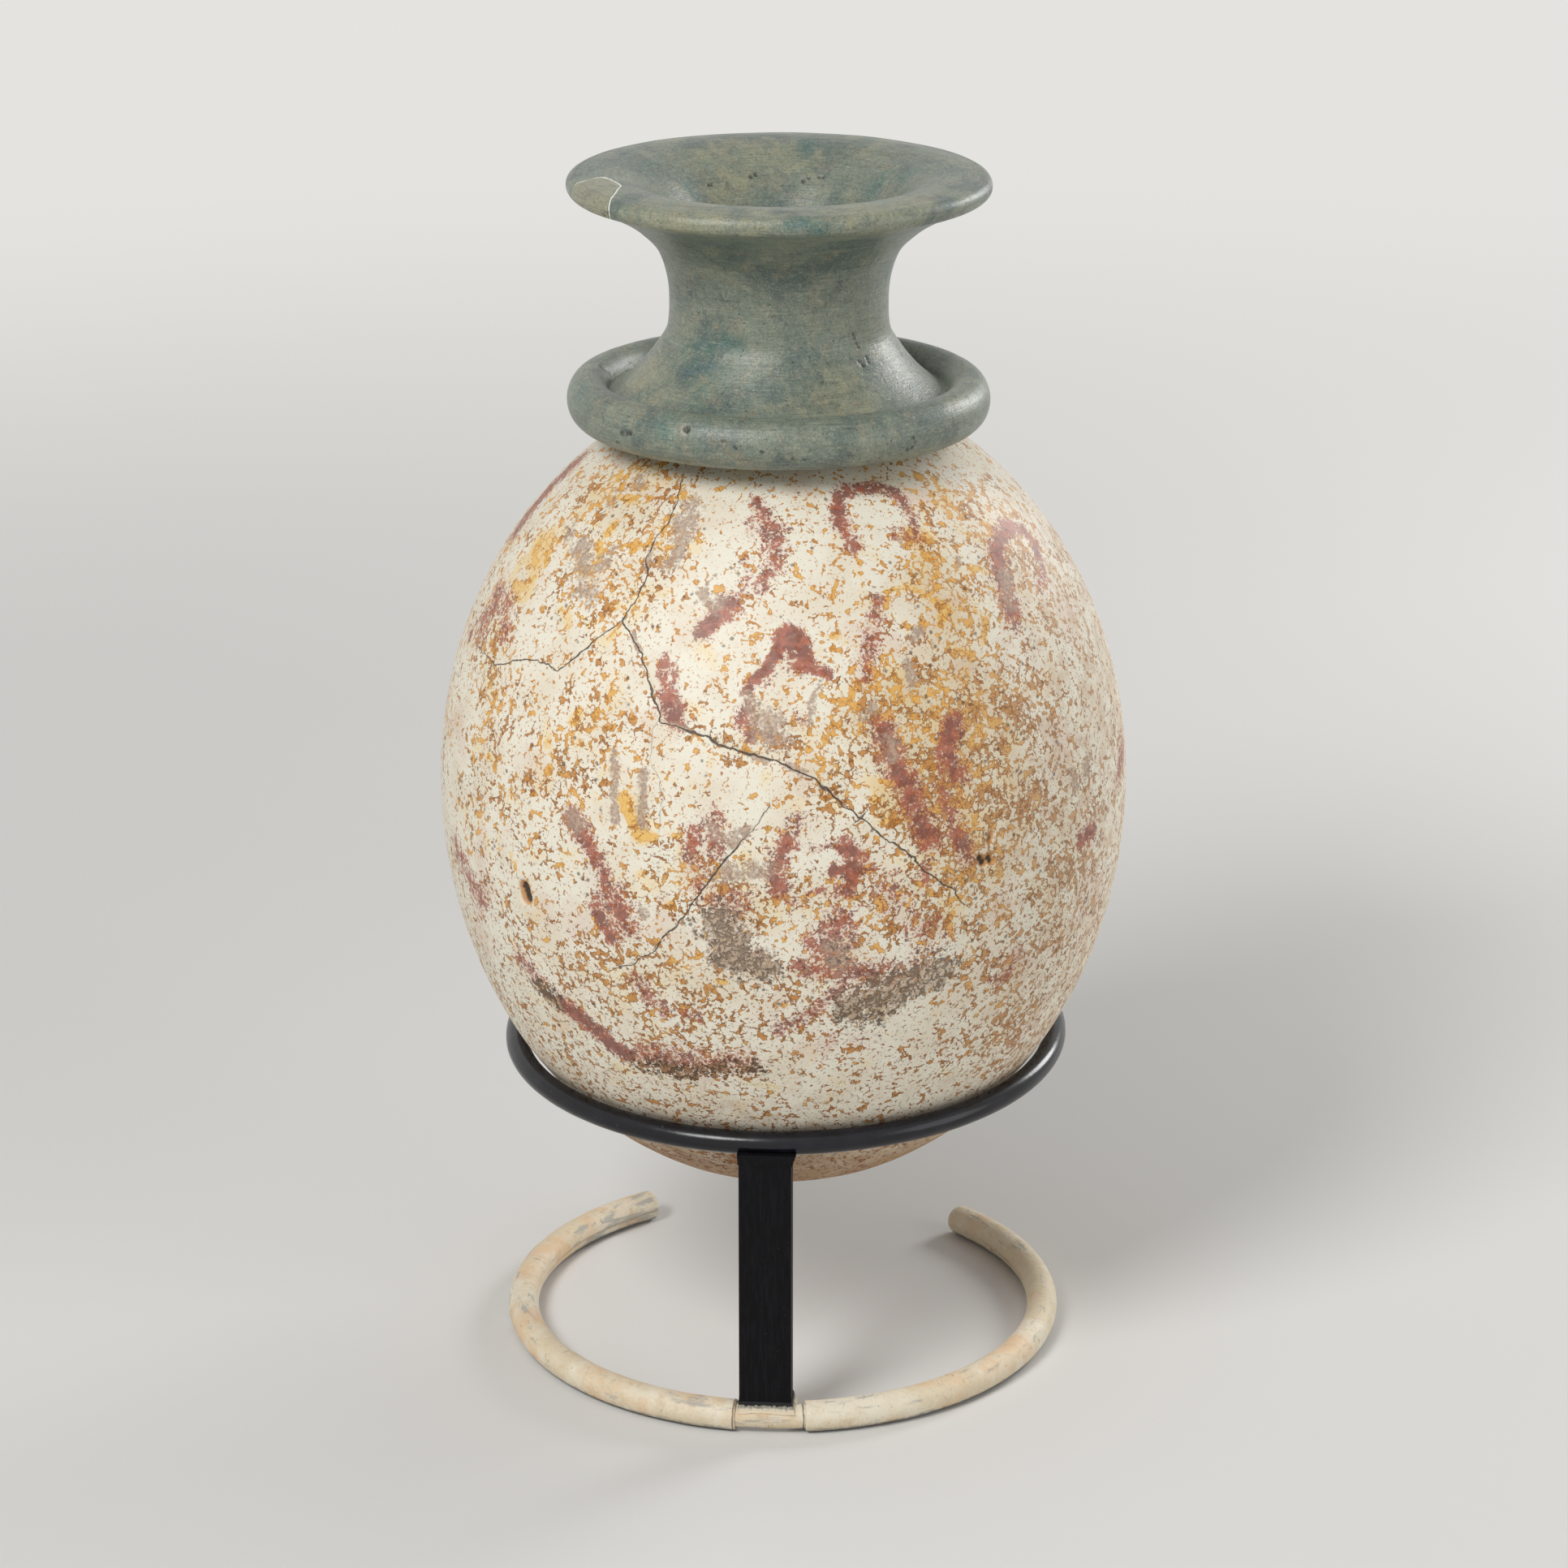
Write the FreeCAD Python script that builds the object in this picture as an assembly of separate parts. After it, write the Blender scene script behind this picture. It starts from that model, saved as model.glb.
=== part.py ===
import FreeCAD, Part
import math
import os
from FreeCAD import Placement, Rotation, Vector

# An ostrich egg rhyton resting in a display stand. Millimetres, +Z up.
# The origin is on the floor, under the axis of the egg. The post of the stand is on the -Y side.

# Sizes of the stand
base_rod_diameter = 4.6
sleeve_diameter = 5.8
sleeve_clearance = 0.1
sleeve_edge_round = 0.35
sleeve_tip_wall = 1.2
left_tip_round = 0.8
right_tip_round = 2.2
base_ring_radius = 49.7
bare_length_left = 5.3
bare_length_right = 7.2
left_arm_sweep_deg = 145.0
right_arm_sweep_deg = 141.0
post_width = 9.6
post_depth = 5.0
post_height = 49.6
post_edge_round = 0.35
post_setback = 1.4
weld_gap = 0.15
weld_leg = 0.8
weld_left_leg = 0.25
weld_right_leg = 0.9
weld_height = 1.1
cradle_rod_diameter = 4.3
cradle_ring_radius = 50.7
cradle_tilt_deg = 1.3
cradle_tilt_heading_deg = 63.0
seat_clearance = 0.3

# Sizes of the egg
egg_radius = 63.5
egg_lower_length = 77.7
egg_upper_length = 74.8
shell_wall = 2.2
pour_hole_radius = 4.0
opening_clearance = 2.0

# Sizes of the mouthpiece, measured along and across its own axis
bore_radius = 10.5
stub_radius = 14.5
stub_reach = 6.0
flange_radius = 38.4
roll_width = 8.0
roll_height = 9.4
seat_radius = 27.0
seat_drop = 3.6
bedding_thickness = 1.85
bedding_radius = 24.5
waist_radius = 19.85
waist_height = 18.5
lip_radius = 38.25
lip_height = 39.2
lip_thickness = 4.0
bore_top_height = 19.0
mouthpiece_offset = -0.9
mouthpiece_lean_deg = 2.65
fracture_glue = 0.45
cut_overrun = 3.0

# Outline shares: across and along between the two ends of each curve
upper_flare_shares = ((0.0, 0.0), (0.107, 0.455), (0.36, 0.70), (0.64, 0.86), (1.0, 1.0))
lower_flare_shares = ((0.0, 0.0), (0.033, 0.314), (0.163, 0.473), (0.414, 0.692), (0.71, 0.882), (1.0, 1.0))
funnel_shares = ((0.0, 0.0), (0.146, -0.016), (0.32, 0.01), (0.476, 0.09), (0.67, 0.30), (0.845, 0.617), (1.0, 1.0))
# Where the inner wall of the rolled rim meets the dish, as an angle round the roll
crease_angle_deg = 160.0
# The broken piece of the lip: heading round the mouth, and reach as a share of the lip radius
fracture_start_deg = 200.0
fracture_end_deg = 226.5
fracture_shares = ((-0.10, 0.95), (-0.19, 0.84), (-0.02, 0.805), (0.30, 0.80), (0.50, 0.845), (0.68, 0.905))

# Heights and places that follow from the sizes
base_rod_radius = base_rod_diameter / 2
sleeve_radius = sleeve_diameter / 2
cradle_rod_radius = cradle_rod_diameter / 2
base_rod_height = sleeve_radius
post_foot_height = base_rod_height + base_rod_radius + weld_gap
post_top_height = post_foot_height + post_height
cradle_front_height = post_top_height + weld_gap + cradle_rod_radius

plane_normal = Vector(0, -1, 0)
up = Vector(0, 0, 1)
centre = Vector(0, 0, 0)


def profile_point(across, along):
    return Vector(across, 0, along)


def line(start, end):
    return Part.LineSegment(start, end).toShape()


def spline(points, start_tangent, end_tangent):
    curve = Part.BSplineCurve()
    curve.interpolate(Points=points, InitialTangent=start_tangent, FinalTangent=end_tangent)
    return curve.toShape()


def share_points(shares, start, end):
    step = end - start
    return [profile_point(start.x + across * step.x, start.z + along * step.z) for across, along in shares]


def ellipse_arc(middle, across, along, start_deg, end_deg, steps=8):
    """An elliptic arc in the profile plane, from one angle to the other."""
    points = []
    for step in range(steps + 1):
        angle = math.radians(start_deg + (end_deg - start_deg) * step / steps)
        points.append(middle + profile_point(across * math.cos(angle), along * math.sin(angle)))
    turn = 1 if end_deg > start_deg else -1
    ends = []
    for angle_deg in (start_deg, end_deg):
        angle = math.radians(angle_deg)
        ends.append(profile_point(-across * math.sin(angle), along * math.cos(angle)) * turn)
    return spline(points, ends[0], ends[1])


def revolve(edges):
    face = Part.Face(Part.Wire(edges))
    solid = face.revolve(centre, up, 360)
    if solid.Volume < 0:
        solid.reverse()
    return solid


def ring_rod(ring_radius, rod_radius, middle, start_deg, sweep_deg):
    """A round rod bent round the vertical line through the middle."""
    outline = Part.Circle(profile_point(ring_radius, 0), plane_normal, rod_radius).toShape()
    rod = Part.Face(Part.Wire([outline])).revolve(centre, up, sweep_deg)
    rod.Placement = Placement(middle, Rotation(up, start_deg))
    return rod


def one_solid(shape):
    solids = sorted(shape.Solids, key=lambda solid: solid.Volume)
    return solids[-1]


# The cradle ring touches the egg along one circle, a small clearance away
def seat_reach(angle):
    across = math.cos(angle) / egg_radius
    down = math.sin(angle) / egg_lower_length
    size = math.hypot(across, down)
    return across / size, down / size


def seat_radius_at(angle):
    return egg_radius * math.cos(angle) + (cradle_rod_radius + seat_clearance) * seat_reach(angle)[0]


def find_seat_angle():
    low, high = 0.0, math.pi / 2
    for _ in range(60):
        middle = (low + high) / 2
        if seat_radius_at(middle) > cradle_ring_radius:
            low = middle
        else:
            high = middle
    return low


seat_angle = find_seat_angle()
seat_across, seat_down = seat_reach(seat_angle)
# The ring tilts about the point of the egg's axis where the seat's normals meet, so its clearance stays even
pivot_rise = cradle_ring_radius * seat_down / seat_across
tilt = math.radians(cradle_tilt_deg)
heading = math.radians(cradle_tilt_heading_deg)
heading_line = Vector(math.cos(heading), math.sin(heading), 0)
tilt_axis = up.cross(heading_line) * -1
cradle_turn = Rotation(tilt_axis, cradle_tilt_deg)
front_arm = cradle_turn.multVec(Vector(0, -cradle_ring_radius, -pivot_rise))
pivot_height = cradle_front_height - front_arm.z
cradle_level = pivot_height - pivot_rise
egg_height = (
    cradle_level
    + egg_lower_length * math.sin(seat_angle)
    + seat_down * (cradle_rod_radius + seat_clearance)
)
post_line = Vector(front_arm.x, front_arm.y, 0)
base_middle = Vector(0, front_arm.y - post_setback + base_ring_radius, base_rod_height)
# The arms of the foot are measured from the place under the post
front_deg = -90 + math.degrees(math.asin(post_line.x / base_ring_radius))


def egg_top_at(radius):
    return egg_height + egg_upper_length * math.sqrt(1 - (radius / egg_radius) ** 2)


# The mouthpiece's own frame: its zero is the middle of the rolled rim of the flange
flange_height = egg_top_at(seat_radius) + bedding_thickness + seat_drop
mouthpiece_place = Placement(
    Vector(mouthpiece_offset, 0, flange_height),
    Rotation(Vector(1, 0, 0), -mouthpiece_lean_deg),
)
seat_rise = egg_top_at(stub_radius) + bedding_thickness - flange_height
opening_radius = stub_radius + opening_clearance
stub_end = egg_top_at(opening_radius) - shell_wall - stub_reach - flange_height


# The egg
def egg_side(wall, start_radius, end_radius):
    """The side of the egg from the hole at the bottom to the opening at the top."""
    across = egg_radius - wall
    down = egg_lower_length - wall
    rise = egg_upper_length - wall
    middle = profile_point(0, egg_height)
    start_deg = -math.degrees(math.acos(start_radius / across))
    end_deg = math.degrees(math.acos(end_radius / across))
    lower = ellipse_arc(middle, across, down, start_deg, 0, 12)
    upper = ellipse_arc(middle, across, rise, 0, end_deg, 12)
    return lower, upper


def edge_end(edge, last):
    return edge.valueAt(edge.LastParameter if last else edge.FirstParameter)


def make_egg_shell():
    outer = egg_side(0, pour_hole_radius, opening_radius)
    inner = egg_side(shell_wall, pour_hole_radius, opening_radius)
    rim = line(edge_end(outer[1], True), edge_end(inner[1], True))
    hole = line(edge_end(inner[0], False), edge_end(outer[0], False))
    return revolve([outer[0], outer[1], rim, inner[1], inner[0], hole])


def make_egg_body():
    """The egg as one filled body, for cutting what lies on it."""
    lower, upper = egg_side(0, 0, 0)
    return revolve([lower, upper, line(edge_end(upper, True), edge_end(lower, False))])


# The mouthpiece
def mouthpiece_outline():
    roll_across = roll_width / 2
    roll_up = roll_height / 2
    roll_middle = profile_point(flange_radius - roll_across, 0)
    roll = ellipse_arc(roll_middle, roll_across, roll_up, crease_angle_deg, -90, 12)
    waist = profile_point(waist_radius, waist_height)
    lip_edge = lip_thickness / 2
    lip_middle = profile_point(lip_radius - lip_edge, lip_height)
    lip = ellipse_arc(lip_middle, lip_edge, lip_edge, -90, 90)
    upper_points = share_points(upper_flare_shares, waist, edge_end(lip, False))
    lower_points = share_points(lower_flare_shares, waist, edge_end(roll, False))
    upper = spline(upper_points, profile_point(0, lip_radius), profile_point(lip_radius, lip_thickness * 3))
    lower = spline(lower_points, profile_point(0, -waist_radius), profile_point(waist_radius, -roll_height / 2))
    seat_outer = profile_point(seat_radius, -seat_drop)
    seat_inner = profile_point(stub_radius, seat_rise)
    stub_foot = profile_point(stub_radius, stub_end)
    under = line(edge_end(roll, True), seat_outer)
    seat = line(seat_outer, seat_inner)
    stub = line(seat_inner, stub_foot)
    return lip, upper, lower, roll, under, seat, stub


def make_mouthpiece_body():
    """The mouthpiece without its bore: closed on its own axis."""
    lip, upper, lower, roll, under, seat, stub = mouthpiece_outline()
    lip_top = edge_end(lip, True)
    axis_top = profile_point(0, lip_top.z)
    axis_foot = profile_point(0, stub_end)
    top = line(lip_top, axis_top)
    axis = line(axis_top, axis_foot)
    foot = line(axis_foot, edge_end(stub, True))
    return revolve([lip, upper, lower, roll, under, seat, stub, foot, axis, top])


def make_mouthpiece_whole():
    """The mouthpiece with its funnel and bore, before its lip broke."""
    lip, upper, lower, roll, under, seat, stub = mouthpiece_outline()
    bore_top = profile_point(bore_radius, bore_top_height)
    bore_foot = profile_point(bore_radius, stub_end)
    funnel_points = share_points(funnel_shares, edge_end(lip, True), bore_top)
    funnel = spline(
        funnel_points, profile_point(-lip_radius, 0), profile_point(0, -lip_radius))
    bore = line(bore_top, bore_foot)
    foot = line(bore_foot, edge_end(stub, True))
    return revolve([lip, upper, lower, roll, under, seat, stub, foot, bore, funnel])


def fracture_wire(inset):
    """The crack round the broken piece of the lip, seen along the mouthpiece's axis."""
    outside = lip_radius + cut_overrun
    span = fracture_end_deg - fracture_start_deg
    polar = [(fracture_start_deg, outside)]
    polar += [(fracture_start_deg + span * along, lip_radius * reach) for along, reach in fracture_shares]
    polar.append((fracture_end_deg, outside))
    corners = []
    for heading_deg, reach in polar:
        angle = math.radians(heading_deg)
        corners.append(Vector(reach * math.cos(angle), reach * math.sin(angle), 0))
    middle_angle = math.radians((fracture_start_deg + fracture_end_deg) / 2)
    middle = Vector(outside * math.cos(middle_angle), outside * math.sin(middle_angle), 0)
    points = []
    for corner in corners:
        inwards = middle - corner
        points.append(corner + inwards * (inset / inwards.Length))
    crack = Part.BSplineCurve()
    crack.interpolate(points)
    far = middle * (1 + cut_overrun / lip_radius)
    return Part.Wire([crack.toShape(), line(points[-1], far), line(far, points[0])])


def fracture_prism(inset):
    prism = Part.Face(fracture_wire(inset)).extrude(up * (lip_thickness * 4))
    prism.translate(Vector(0, 0, lip_height - lip_thickness * 2))
    return prism


def place_on_egg(shape):
    shape.Placement = mouthpiece_place.multiply(shape.Placement)
    return shape


# The stand
def along_ring_deg(length):
    return math.degrees(length / base_ring_radius)


def make_base_rod():
    recess_deg = along_ring_deg(sleeve_tip_wall + sleeve_clearance)
    start = front_deg - left_arm_sweep_deg + recess_deg
    sweep = left_arm_sweep_deg + right_arm_sweep_deg - 2 * recess_deg
    return ring_rod(base_ring_radius, base_rod_radius, base_middle, start, sweep)


def make_sleeve(mouth_deg, tip_deg, tip_round):
    """A tube drawn over an arm of the foot: open at its mouth near the post, closed and rounded at its tip."""
    onward = 1 if tip_deg > mouth_deg else -1
    overrun_deg = onward * along_ring_deg(cut_overrun)
    bore_tip_deg = tip_deg - onward * along_ring_deg(sleeve_tip_wall)
    sleeve = arm(sleeve_radius, mouth_deg, tip_deg)
    tip = base_middle + Rotation(up, tip_deg).multVec(profile_point(base_ring_radius, 0))
    rims = [edge for edge in sleeve.Edges if is_rim(edge, sleeve_radius)]
    rims.sort(key=lambda edge: (edge.CenterOfMass - tip).Length)
    sleeve = sleeve.makeFillet(tip_round, rims[:1])
    sleeve = sleeve.cut(arm(base_rod_radius + sleeve_clearance, mouth_deg - overrun_deg, bore_tip_deg))
    mouth_rims = [edge for edge in sleeve.Edges if is_rim(edge, sleeve_radius)]
    mouth_rims.sort(key=lambda edge: (edge.CenterOfMass - tip).Length)
    return one_solid(sleeve.makeFillet(sleeve_edge_round, mouth_rims[-1:]))


def arm(radius, start_deg, end_deg):
    first_deg = min(start_deg, end_deg)
    return ring_rod(base_ring_radius, radius, base_middle, first_deg, abs(end_deg - start_deg))


def is_rim(edge, radius):
    curve = edge.Curve
    return isinstance(curve, Part.Circle) and abs(curve.Radius - radius) < weld_gap


def make_post():
    corner = post_line - Vector(post_width / 2, post_depth / 2, 0) + up * post_foot_height
    post = Part.makeBox(post_width, post_depth, post_height, corner)
    upright = [edge for edge in post.Edges if edge.Length > post_height - weld_gap]
    return post.makeFillet(post_edge_round, upright)


def weld_section(height, left_leg, right_leg, leg):
    left = -post_width / 2 - left_leg
    right = post_width / 2 + right_leg
    deep = post_depth / 2 + leg
    corners = [
        post_line + Vector(left, -deep, height),
        post_line + Vector(right, -deep, height),
        post_line + Vector(right, deep, height),
        post_line + Vector(left, deep, height),
    ]
    return Part.makePolygon(corners + corners[:1])


def weld_collar(post, rod, wide_height, narrow_height):
    """A weld bead round an end of the post, which tapers to almost nothing along the post."""
    wide = weld_section(wide_height, weld_left_leg, weld_right_leg, weld_leg)
    narrow = weld_section(narrow_height, weld_gap, weld_gap, weld_gap)
    sections = [wide, narrow] if wide_height < narrow_height else [narrow, wide]
    collar = Part.makeLoft(sections, True, True)
    return one_solid(collar.cut(post).cut(rod))


def make_foot_weld(post, rod):
    return weld_collar(post, rod, base_rod_height + base_rod_radius / 2, post_foot_height + weld_height)


def make_cradle_weld(post, ring):
    return weld_collar(post, ring, cradle_front_height - cradle_rod_radius / 2, post_top_height - weld_height)


def make_cradle_ring():
    ring = ring_rod(cradle_ring_radius, cradle_rod_radius, up * cradle_level, 0, 360)
    ring.rotate(up * pivot_height, tilt_axis, cradle_tilt_deg)
    return ring


def make_bedding(shell, mouthpiece_body):
    """The setting bed between the egg and the mouthpiece, which also fills the gap round the stub."""
    reach = egg_top_at(opening_radius) - shell_wall
    head = flange_height + seat_rise + bedding_thickness
    disc = Part.makeCylinder(bedding_radius, head - reach, up * reach)
    below = make_egg_body()
    plug = Part.makeCylinder(opening_radius, head - reach, up * reach)
    bed = disc.cut(below).fuse(plug)
    return one_solid(bed.cut(mouthpiece_body).cut(shell))


def build_all():
    nodes = {}
    nodes["base_rod"] = make_base_rod()
    left_mouth_deg = front_deg - along_ring_deg(bare_length_left)
    right_mouth_deg = front_deg + along_ring_deg(bare_length_right)
    nodes["left_sleeve"] = make_sleeve(left_mouth_deg, front_deg - left_arm_sweep_deg, left_tip_round)
    nodes["right_sleeve"] = make_sleeve(right_mouth_deg, front_deg + right_arm_sweep_deg, right_tip_round)
    nodes["post"] = make_post()
    nodes["cradle_ring"] = make_cradle_ring()
    nodes["foot_weld"] = make_foot_weld(nodes["post"], nodes["base_rod"])
    nodes["cradle_weld"] = make_cradle_weld(nodes["post"], nodes["cradle_ring"])

    nodes["egg_shell"] = make_egg_shell()
    whole = make_mouthpiece_whole()
    broken = fracture_prism(0)
    chip = fracture_prism(fracture_glue)
    nodes["mouthpiece"] = place_on_egg(one_solid(whole.cut(broken)))
    nodes["lip_fragment"] = place_on_egg(one_solid(whole.common(chip)))
    nodes["lip_glue"] = place_on_egg(one_solid(whole.common(broken).cut(chip)))
    mouthpiece_body = place_on_egg(make_mouthpiece_body())
    nodes["mouthpiece_bedding"] = make_bedding(nodes["egg_shell"], mouthpiece_body)
    return nodes


def main():
    os.makedirs("parts", exist_ok=True)
    nodes = build_all()
    for name, solid in nodes.items():
        box = solid.BoundBox
        print(
            f"{name:20s} solids {len(solid.Solids)} valid {solid.isValid()} volume {solid.Volume:9.1f}"
            f" x {box.XMin:7.2f} {box.XMax:7.2f} y {box.YMin:7.2f} {box.YMax:7.2f}"
            f" z {box.ZMin:7.2f} {box.ZMax:7.2f}"
        )
        solid.exportStep("parts/" + name + ".step")
    bore_foot = mouthpiece_place.multVec(profile_point(0, stub_end))
    bore_head = mouthpiece_place.multVec(profile_point(0, bore_top_height))
    print("egg height", egg_height, "flange height", flange_height, "pivot", pivot_height)
    print("bore from", tuple(bore_foot), "to", tuple(bore_head))
    print("base middle", tuple(base_middle), "post line", tuple(post_line))


main()
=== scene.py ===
import math

import bmesh
import bpy
import numpy as np
from mathutils import Matrix, Vector, noise
from mathutils.bvhtree import BVHTree


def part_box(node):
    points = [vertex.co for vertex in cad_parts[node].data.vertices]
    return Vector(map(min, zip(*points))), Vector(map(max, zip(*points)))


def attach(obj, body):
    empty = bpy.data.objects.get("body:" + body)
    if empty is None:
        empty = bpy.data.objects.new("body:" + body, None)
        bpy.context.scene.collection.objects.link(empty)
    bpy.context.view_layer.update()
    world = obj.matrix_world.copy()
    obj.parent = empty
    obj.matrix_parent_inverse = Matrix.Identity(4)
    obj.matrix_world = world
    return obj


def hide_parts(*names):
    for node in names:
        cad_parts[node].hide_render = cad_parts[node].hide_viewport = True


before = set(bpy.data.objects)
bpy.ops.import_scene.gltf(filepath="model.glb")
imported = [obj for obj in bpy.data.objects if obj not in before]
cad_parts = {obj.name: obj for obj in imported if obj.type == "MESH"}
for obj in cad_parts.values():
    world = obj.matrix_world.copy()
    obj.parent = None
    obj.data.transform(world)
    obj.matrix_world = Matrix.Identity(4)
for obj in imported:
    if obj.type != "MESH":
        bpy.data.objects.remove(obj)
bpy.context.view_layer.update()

# Shapes are built in millimetres and scaled to metres when they are finished.
metre = 0.001
farAway = 1e6
photoSize = 1932

# camera, first, because marks are placed by where the photograph shows them
camera = {
    "place": (69.6, -969.7, 474.7), "headingDeg": 4.1, "pitchDeg": 20.68, "focalPixels": 6892,
    "sensor": 36.0, "nearest": 0.05, "farthest": 50.0,
}


def addObject(name, data):
    made = bpy.data.objects.new(name, data)
    bpy.context.scene.collection.objects.link(made)
    return made


def makeCamera():
    data = bpy.data.cameras.new("camera")
    data.sensor_width = camera["sensor"]
    data.lens = camera["focalPixels"] * camera["sensor"] / photoSize
    data.clip_start = camera["nearest"]
    data.clip_end = camera["farthest"]
    eye = addObject("camera", data)
    eye.location = Vector(camera["place"]) * metre
    eye.rotation_euler = (math.radians(90 - camera["pitchDeg"]), 0, math.radians(camera["headingDeg"]))
    bpy.context.scene.camera = eye
    return eye.rotation_euler.to_matrix()


eyeTurn = makeCamera()
print("camera ready")


def spotOn(tree, x, y):
    # where the line of sight through a place of the photograph meets a surface
    middle = photoSize / 2
    ray = Vector((x - middle, middle - y, -camera["focalPixels"]))
    return tree.ray_cast(Vector(camera["place"]), (eyeTurn @ ray).normalized())[0]


# shader maths
class Flow:
    # one socket of a node tree; operators on it add Math nodes
    def __init__(self, paint, socket):
        self.paint = paint
        self.socket = socket

    def math(self, operation, *values):
        return self.paint.node("ShaderNodeMath", {"operation": operation}, dict(enumerate(values)))

    def __add__(self, other):
        return self.math("ADD", self, other)

    def __sub__(self, other):
        return self.math("SUBTRACT", self, other)

    def __rsub__(self, other):
        return self.math("SUBTRACT", other, self)

    def __mul__(self, other):
        return self.math("MULTIPLY", self, other)

    __radd__ = __add__
    __rmul__ = __mul__

    def size(self):
        return self.math("ABSOLUTE", self)

    def most(self, other):
        return self.math("MAXIMUM", self, other)

    def ramp(self, low, high):
        # 0 below low, 1 above high, smooth between
        settings = {"interpolation_type": "SMOOTHSTEP", "clamp": True}
        sockets = {"Value": self, "From Min": low, "From Max": high}
        return self.paint.node("ShaderNodeMapRange", settings, sockets)


class Paint:
    # one node tree, of a new material by its name or of the world, with its named tones and its colour so far
    def __init__(self, owner, tones=None):
        self.owner = bpy.data.materials.new(owner) if isinstance(owner, str) else owner
        self.owner.use_nodes = True
        self.tree = self.owner.node_tree
        self.tree.nodes.clear()
        self.tones = tones
        self.colour = None
        self.place = self.vector("SCALE", self.node("ShaderNodeTexCoord", out="Object"), Scale=1 / metre)

    def node(self, kind, settings=None, sockets=None, out=0):
        made = self.tree.nodes.new(kind)
        for name, value in (settings or {}).items():
            setattr(made, name, value)
        for name, value in (sockets or {}).items():
            if isinstance(value, Flow):
                self.tree.links.new(value.socket, made.inputs[name])
            else:
                made.inputs[name].default_value = value
        return Flow(self, made.outputs[out])

    def vector(self, operation, *values, out=0, **sockets):
        sockets.update(enumerate(values))
        return self.node("ShaderNodeVectorMath", {"operation": operation}, sockets, out)

    def axis(self, name):
        return self.node("ShaderNodeSeparateXYZ", None, {0: self.place}, name)

    def spot(self, *values):
        return self.node("ShaderNodeCombineXYZ", None, dict(enumerate(values)))

    def noise(self, size, detail=2.0, rough=0.5, twist=0.0, place=None, shift=0.0, out=0):
        # size is in millimetres, and shift moves it so that two noises differ
        place = place or self.place
        if shift:
            place = self.vector("ADD", place, (shift, shift * 1.7, shift * 0.6))
        sockets = {
            "Vector": place, "Scale": 1 / size, "Detail": detail, "Roughness": rough, "Distortion": twist}
        return self.node("ShaderNodeTexNoise", None, sockets, out)

    def cells(self, size, place=None):
        # 0 in the middle of each round cell, rising to the corners between them
        sockets = {"Vector": place or self.place, "Scale": 1 / size}
        return self.node("ShaderNodeTexVoronoi", None, sockets, "Distance")

    def specks(self, size, low, high, place=None):
        return 1 - self.cells(size, place).ramp(low, high)

    def saved(self, name):
        return self.node("ShaderNodeAttribute", {"attribute_name": name}, out="Fac")

    def tone(self, colour):
        return linear(self.tones[colour] if isinstance(colour, str) else colour)

    def mix(self, under, over, factor, way="MIX"):
        sockets = {"Factor": factor, 6: self.tone(under), 7: self.tone(over)}
        return self.node("ShaderNodeMix", {"data_type": "RGBA", "blend_type": way}, sockets, 2)

    def lay(self, over, factor, way="MIX"):
        # one more layer over the colour so far
        self.colour = self.mix(self.colour, over, factor, way)

    def shader(self, rough, gloss, height=None):
        # height is in millimetres
        sockets = {"Base Color": self.colour, "Roughness": rough, "Specular IOR Level": gloss}
        if height:
            sockets["Normal"] = self.node("ShaderNodeBump", None, {"Height": height, "Distance": metre})
        return self.node("ShaderNodeBsdfPrincipled", None, sockets)

    def show(self, shader, output="ShaderNodeOutputMaterial"):
        self.tree.links.new(shader.socket, self.tree.nodes.new(output).inputs["Surface"])
        return self.owner

    def finish(self, rough, gloss, height=None):
        return self.show(self.shader(rough, gloss, height))


def linear(colour):
    # a colour as a screen shows it, 0 to 255, made linear by the sRGB curve
    if isinstance(colour, Flow):
        return colour
    shares = [part / 255 for part in colour]
    curved = [share / 12.92 if share <= 0.04045 else ((share + 0.055) / 1.055) ** 2.4 for share in shares]
    return (*curved, 1.0)


# helpers for meshes
def profileMesh(points):
    # a closed outline in the XZ plane, ready to spin
    bm = bmesh.new()
    corners = [bm.verts.new((x, 0, z)) for x, z in points]
    for first, second in zip(corners, corners[1:] + corners[:1]):
        bm.edges.new((first, second))
    return bm


def addMesh(name, bm):
    mesh = bpy.data.meshes.new(name)
    bm.to_mesh(mesh)
    return addObject(name, mesh)


def throughModifier(bm, kind, other=None, **settings):
    # the shape after one modifier, as a new shape
    holders = [addMesh("shape", shape) for shape in (bm, other) if shape]
    modifier = holders[0].modifiers.new("step", kind)
    for name, value in settings.items():
        setattr(modifier, name, value)
    if other:
        modifier.object = holders[1]
    seen = holders[0].evaluated_get(bpy.context.evaluated_depsgraph_get())
    result = bmesh.new()
    result.from_mesh(seen.to_mesh())
    seen.to_mesh_clear()
    for holder in holders:
        bpy.data.meshes.remove(holder.data)
    return result


def joined(bm, other, operation):
    return throughModifier(bm, "BOOLEAN", other, operation=operation, solver="EXACT")


def spinAround(bm, steps, angle=math.tau):
    spun = throughModifier(
        bm, "SCREW", angle=angle, steps=steps, render_steps=steps,
        use_merge_vertices=angle == math.tau, merge_threshold=1e-4)
    bmesh.ops.recalc_face_normals(spun, faces=spun.faces[:])
    return spun


def arc(middleX, middleZ, across, along, startDeg, endDeg, steps):
    points = []
    for step in range(steps + 1):
        angle = math.radians(startDeg + (endDeg - startDeg) * step / steps)
        points.append((middleX + across * math.cos(angle), middleZ + along * math.sin(angle)))
    return points


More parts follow.
